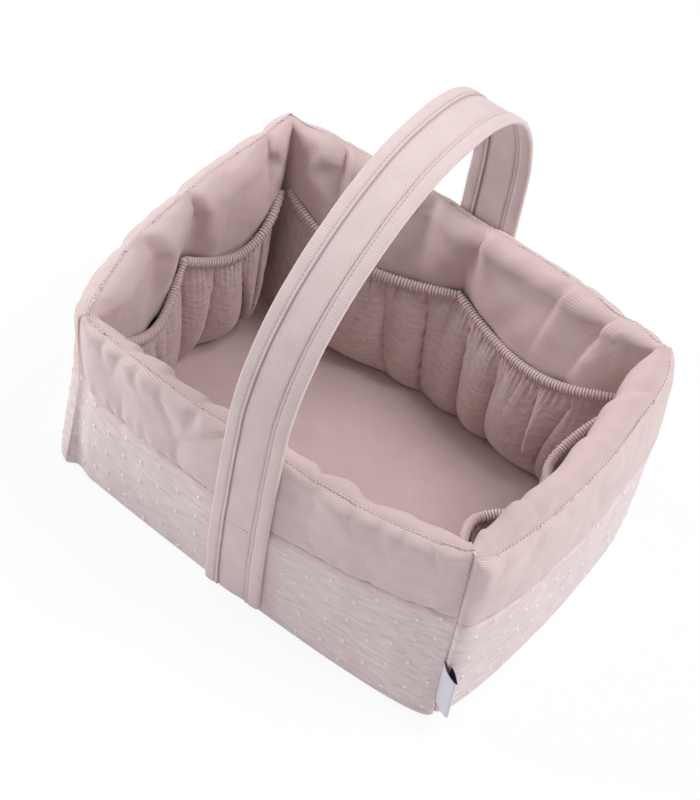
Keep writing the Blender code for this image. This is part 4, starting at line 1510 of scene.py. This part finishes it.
@dataclass
class StrapHandle:
    """The wide strap: a ribbed middle between two folded bindings, sewn down at both ends."""

    width: float = 0.046
    thickness: float = 0.0048
    binding: float = 0.0115
    shoulder_height: float = 0.190
    apex: float = 0.343
    apex_offset: float = 0.010
    front_lean: float = 0.0022
    back_lean: float = 0.0014
    front_arch_power: float = 1.8
    back_arch_power: float = 2.28
    bottom_edge: float = 0.0100
    back_sway: float = 0.0050
    stitch_height: float = 0.0875
    bend_end: float = 0.134
    wall_gap: float = 0.0003
    half_rows: int = 60
    spacing: float = 0.0022
    face_rise: float = 0.0004
    edge_rise: float = 0.0014
    sway: float = 0.00035
    ripple: float = 0.00022
    sway_run: float = 0.05
    sway_power: float = 0.7
    stitch_slope: float = 0.0006
    stitch_sunk: float = 0.0006
    cross_stitch: tuple[float, float, float] = (0.0030, 0.0022, 0.0003)

    def wall(self, side: int) -> WallLine:
        """The wall under a half of the strap. Side is -1 at the front and 1 at the back."""
        return WALL_LINES[0] if side < 0 else WALL_LINES[2]

    def shoulder_reach(self, side: int) -> float:
        """Distance of the strap's inner face from the middle, at its shoulder."""
        line = self.wall(side)
        middle = np.array([0.0])
        lean = self.front_lean if side < 0 else self.back_lean
        return float(line.reach(line.rim) + line.swell(middle, line.rim_height(middle))[0]) + lean

    def leg(self, height: float, side: int) -> float:
        """Y of the strap's inner face beside a wall. Side is -1 at the front and 1 at the back."""
        line = self.wall(side)
        level = np.array([min(height, line.seam)])
        outer = line.outer_depth(np.array([0.0]), level)[0]
        on_wall = float(line.reach(height) - outer) + self.wall_gap
        free_height = self.shoulder_height - self.stitch_height
        climb = float(smooth(np.array((height - self.stitch_height) / free_height)))
        return side * (on_wall + (self.shoulder_reach(side) - on_wall) * climb)

    def half_path(self, side: int) -> list[tuple[float, float]]:
        """Inner face of half of the strap, from its bottom edge to the top, as Y and Z."""
        heights = np.linspace(self.bottom_edge, self.shoulder_height, self.half_rows)
        points = [(self.leg(height, side), height) for height in heights]
        span = self.shoulder_reach(side) - side * self.apex_offset
        rise = self.apex - self.thickness - self.shoulder_height
        power = 2 / (self.front_arch_power if side < 0 else self.back_arch_power)
        for angle in np.linspace(0, math.pi / 2, self.half_rows)[1:]:
            out, climb = max(0.0, math.cos(angle)) ** power, math.sin(angle) ** power
            points.append((self.apex_offset + side * span * out,
                           self.shoulder_height + rise * climb))
        return points

    def path(self) -> np.ndarray:
        """The inner face from the front bottom edge over the top to the back, evenly spaced."""
        line = np.array(self.half_path(-1) + self.half_path(1)[-2::-1])
        steps = chain_length(line)
        at = np.linspace(0, steps[-1], round(steps[-1] / self.spacing))
        return np.stack([np.interp(at, steps, line[:, axis]) for axis in (0, 1)], axis=1)

    def outline(self) -> np.ndarray:
        """The strap's section all round, as X and height over its inner face."""
        edge, fold = self.width / 2, self.width / 2 - self.binding
        over_binding = np.linspace(-edge + 0.0012, -fold - 0.0006, 14)
        over_fold = (-fold - 0.0001, -fold + 0.0002, -fold + 0.0007, -fold + 0.0013)
        over_middle = np.linspace(-fold + 0.003, 0, 5)
        across = np.concatenate([over_binding, over_fold, over_middle])
        face = [(x, self.face_height(abs(x), fold, edge)) for x in across]
        face += [(-x, rise) for x, rise in face[-2::-1]]
        outer = [(x, self.thickness - self.face_rise + rise) for x, rise in face]
        inner = [(x, self.face_rise - rise) for x, rise in face[::-1]]
        middle, shoulder = self.thickness / 2, edge - self.face_rise
        right = [(shoulder, middle + self.edge_rise), (edge, middle),
                 (shoulder, middle - self.edge_rise)]
        left = [(-x, rise) for x, rise in right[::-1]]
        return np.array(outer + right + inner + left)

    def face_height(self, x: float, fold: float, edge: float) -> float:
        """Height of the face: pillowed bindings, a ridge at each fold and a groove beside it."""
        if x > fold:
            share = (x - fold) / (edge - fold)
            pillow = 0.00045 * math.sin(math.pi * min(1.0, share * 0.9 + 0.1))
            dip = -0.00035 * bell(x - fold - 0.0023, 0.0007)
            return 0.0001 + pillow + dip + 0.0002 * bell(x - fold - 0.0004, 0.0006)
        groove = -0.0009 * bell(fold - x, 0.0007)
        return -0.00035 + groove + 0.0002 * math.cos(math.pi / 2 * x / fold)

    def build(self) -> list[ClothPiece]:
        """Builds the strap, bends it over its stitch line, and sews the cross stitching."""
        path, outline = self.path(), self.outline()
        tangent = unit(np.gradient(path, axis=0))
        normal = np.stack([-tangent[:, 1], tangent[:, 0]], axis=1)
        along = chain_length(path)
        ring = np.concatenate([outline, outline[:1]])[..., None]
        above = np.clip((path[:, 1] - self.stitch_height) / (self.apex - self.stitch_height), 0, 1)
        behind = smooth((path[:, 0] - self.apex_offset) / self.sway_run)
        sway = self.sway * Waves(81, 0.08).at(along, 0 * along)
        sway = sway - self.back_sway * behind * np.sin(math.pi * above) ** self.sway_power
        x = ring[:, 0] + sway
        rise = ring[:, 1] + self.ripple * Waves(82, 0.03).at(ring[:, 0], along)
        y, z = (path[:, axis] + rise * normal[:, axis] for axis in (0, 1))
        points = np.stack([x, y, z], axis=2)
        uv = np.stack(np.broadcast_arrays(ring[:, 0], along), axis=2)
        item = new_object("layered_strap", grid_mesh(points, uv, closed=True), STRAP_TWILL)
        parts = ("core", "inner_facing", "outer_facing", "left_binding", "right_binding")
        places = ("handle", "front_strap_end", "back_strap_end")
        nodes = [f"{place}_{part}" for place in places for part in parts]
        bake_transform(item, "basket", "handle", start=(0, 0, self.stitch_height),
                 end=(0, 0, self.bend_end))
        return [
            ClothPiece(item, nodes, Slot.STRAP, "handle"),
            self.cross_stitches(-1, "front"),
            self.cross_stitches(1, "back"),
        ]

    def cross_stitches(self, side: int, place: str) -> ClothPiece:
        """Sews the line across the strap where its free part starts."""
        fold = self.width / 2 - self.binding
        x = np.linspace(-fold, fold, 20)
        heights = self.stitch_height - self.stitch_slope * side * x / fold
        proud = side * (self.thickness - self.stitch_sunk)
        y = np.array([self.leg(float(height), side) for height in heights]) + proud
        line = np.stack([x, y, heights], axis=1)
        # The thread is darkened as painted shade
        return sew(f"{place}_cross_stitch", line, *self.cross_stitch, SHADED_THREAD)


@dataclass
class CornerSeams:
    """The four upright seams, each drawn shut with short cross stitches."""

    pitch: float = 0.0025
    reach: float = 0.0010
    stand: float = 0.0011
    radius: float = 0.00028
    slant: float = 0.0005
    bottom: float = 0.012
    top_gap: float = 0.003

    def build(self) -> list[ClothPiece]:
        """Sews every corner from the base to the rim."""
        pieces = []
        places = ("front_right", "back_right", "back_left", "front_left")
        for line, place in zip(WALL_LINES, places):
            top = float(line.rim_height(np.array([1.0]))[0]) - self.top_gap
            height = np.arange(self.bottom, top, self.pitch)
            end = np.ones_like(height)
            corner = line.place(end, line.corner_draw(end, height) - self.stand, height)
            across = (line.along - line.outward) / math.sqrt(2) * self.reach + UP * self.slant
            mesh = bmesh.new()
            for middle in corner:
                thread_stitch(mesh, Vector(middle - across), Vector(middle + across), self.radius)
            # The thread is darkened as painted shade for the sunk seam
            pieces.append(ClothPiece(new_object(f"{place}_corner_stitches", mesh, SHADED_THREAD)))
        return pieces


@dataclass
class SideTab:
    """A plain ribbon, folded and caught in the corner seam, white outside and navy inside."""

    height: float = 0.038
    reach: float = 0.019
    bottom: float = 0.019
    fold_radius: float = 0.0024
    turn: float = math.radians(-33)
    thickness: float = 0.00045
    root: float = 0.0006
    half_gap: float = 0.0007
    belly: float = 0.0016
    fold_width: float = 0.0012
    fold_length: float = 0.98
    slope: float = 0.11
    twist: float = 0.4
    rows: int = 12
    steps: int = 9

    def profile(self) -> np.ndarray:
        """The folded ribbon from above, as distances out from the seam and across the fold."""
        fold = self.reach - self.fold_radius
        face = [(reach, self.half_gap + self.belly * math.sin(math.pi * reach / self.reach))
                for reach in np.linspace(self.root, fold, self.steps)]
        turns = np.linspace(math.pi / 2, -math.pi / 2, self.steps)[1:-1]
        bend = [(fold + self.fold_radius * math.cos(angle) * self.fold_length,
                 self.fold_width * math.sin(angle)) for angle in turns]
        return np.array(face + bend + [(reach, -width) for reach, width in face[::-1]])

    def build(self) -> list[ClothPiece]:
        """Builds the ribbon as one folded strip with its two faces finished apart."""
        line, middle = WALL_LINES[0], self.bottom + self.height / 2
        corner = np.array((line.body_length / 2, -line.half_width(middle), self.bottom))
        out = np.array((math.cos(self.turn), math.sin(self.turn), 0.0))
        reach, width = self.profile().T[:, None, :]
        front = np.linspace(1, -1, reach.size)[None, :]
        slope = self.slope * reach * (1 + self.twist * np.sign(front))
        rise = np.linspace(0, 1, self.rows)[:, None] * (self.height - slope)
        flat = corner + reach[..., None] * out + width[..., None] * np.cross(UP, out)
        place = flat + rise[..., None] * UP
        uv = np.stack([arc_length(place, 1), rise], axis=2)
        item = new_object("ribbon_side_tab", grid_mesh(place, uv), NAVY_RIBBON, WHITE_RIBBON)
        modifier = item.modifiers.new("ribbon thickness", "SOLIDIFY")
        modifier.thickness = self.thickness
        modifier.offset = -1
        modifier.material_offset = 1
        return [ClothPiece(item, ["side_tab"], Slot.RIBBON, "side_tab")]


@dataclass
class Studio:
    """The pale floor, the soft lamps and the camera at the photograph's angle."""

    azimuth: float = math.radians(25.5)
    elevation: float = math.radians(47.2)
    roll: float = math.radians(13.3)
    distance: float = 2.9
    focal_pixels: float = 4190.0
    picture_height: int = 800
    sensor_width: float = 36
    target: tuple = (-0.0133, 0.0097, 0.080)
    aim: tuple = (0, 0, 0.1)
    floor_size: float = 4
    floor_drop: float = 0.0003
    floor_glow: float = 0.90
    sky_strength: float = 0.44

    def camera(self) -> None:
        """Sets the camera where the photograph was taken from."""
        level, height = math.cos(self.elevation), math.sin(self.elevation)
        back = Vector((math.sin(self.azimuth) * level, -math.cos(self.azimuth) * level, height))
        right = Vector((math.cos(self.azimuth), math.sin(self.azimuth), 0))
        up = back.cross(right)
        across = math.cos(self.roll) * right + math.sin(self.roll) * up
        above = -math.sin(self.roll) * right + math.cos(self.roll) * up
        data = bpy.data.cameras.new("camera")
        data.sensor_width, data.sensor_fit = self.sensor_width, "AUTO"
        data.lens = self.focal_pixels / self.picture_height * self.sensor_width
        data.clip_end = 20
        item = add_object("camera", data)
        turn = Matrix((across, above, back)).transposed().to_4x4()
        item.matrix_world = Matrix.Translation(Vector(self.target) + back * self.distance) @ turn
        bpy.context.scene.camera = item

    def lamp(self, name: str, place: tuple, size: float, watts: float, colour: str) -> None:
        """Hangs one soft box that points at the basket."""
        data = bpy.data.lights.new(name, "AREA")
        data.shape, data.size, data.energy, data.color = "DISK", size, watts, linear(colour)[:3]
        item = add_object(name, data)
        item.location = place
        item.rotation_euler = (Vector(place) - Vector(self.aim)).to_track_quat("Z", "Y").to_euler()

    def direct_view(self, tree: Tree) -> Socket:
        """1 where the camera, a reflection or a clear material looks straight at the backdrop."""
        rays = add_node(tree, "ShaderNodeLightPath")
        seen = rays.outputs["Is Camera Ray"]
        for name in ("Is Glossy Ray", "Is Transmission Ray"):
            links = {0: seen, 1: rays.outputs[name]}
            seen = add_node(tree, "ShaderNodeMath", links, operation="MAXIMUM").outputs[0]
        return seen

    def backdrop(self) -> None:
        """Lays the white floor and sets the pale surroundings, which the camera sees as white."""
        mesh = bmesh.new()
        bmesh.ops.create_grid(mesh, x_segments=1, y_segments=1, size=self.floor_size)
        bmesh.ops.translate(mesh, verts=mesh.verts, vec=(0, 0, -self.floor_drop))
        floor = add_object("floor", mesh_data("floor", mesh))
        material = bpy.data.materials.new("white_paper_floor")
        floor.data.materials.append(material)
        world = bpy.data.worlds.new("studio")
        bpy.context.scene.world = world
        for owner in (material, world):
            owner.use_nodes = True
            owner.node_tree.nodes.clear()
        tree, white = material.node_tree, (1, 1, 1, 1)
        paper = add_node(tree, "ShaderNodeBsdfDiffuse", {"Color": linear("F4F2F2")})
        glow = add_node(tree, "ShaderNodeEmission", {"Color": white, "Strength": 1.0})
        links = {0: self.direct_view(tree), 1: self.floor_glow}
        seen = add_node(tree, "ShaderNodeMath", links, operation="MULTIPLY")
        links = {0: seen.outputs[0], 1: paper.outputs[0], 2: glow.outputs[0]}
        mix = add_node(tree, "ShaderNodeMixShader", links)
        add_node(tree, "ShaderNodeOutputMaterial", {"Surface": mix.outputs[0]})
        tree = world.node_tree
        links = {0: self.direct_view(tree), 3: self.sky_strength, 4: 1.0}
        strength = add_node(tree, "ShaderNodeMapRange", links).outputs[0]
        sky = add_node(tree, "ShaderNodeBackground", {"Color": white, "Strength": strength})
        add_node(tree, "ShaderNodeOutputWorld", {"Surface": sky.outputs[0]})

    def build(self) -> None:
        """Sets up the whole studio."""
        bpy.context.scene.view_settings.view_transform = "Standard"
        self.camera()
        self.backdrop()
        self.lamp("high_right_softbox", (0.9, 0.5, 2.1), 1.2, 32, "FFFEFD")
        self.lamp("left_softbox", (-2.0, -0.5, 1.0), 1.2, 32, "FFFFFF")
        self.lamp("low_right_softbox", (1.8, 0.25, 0.4), 1.0, 5, "FFFFFF")


def main() -> None:
    """Builds the studio and every piece of the basket in order."""
    Studio().build()
    pieces = BasketFloor().build()
    for number, line in enumerate(WALL_LINES):
        pieces += PaddedWall(line, seed=number + 1).build()
        pieces += GatheredPocket(line, seed=40 + 7 * number).build()
    pieces += CornerSeams().build()
    pieces += StrapHandle().build()
    pieces += SideTab().build()
    for piece in pieces:
        piece.settle()


if __name__ == "__main__":
    main()
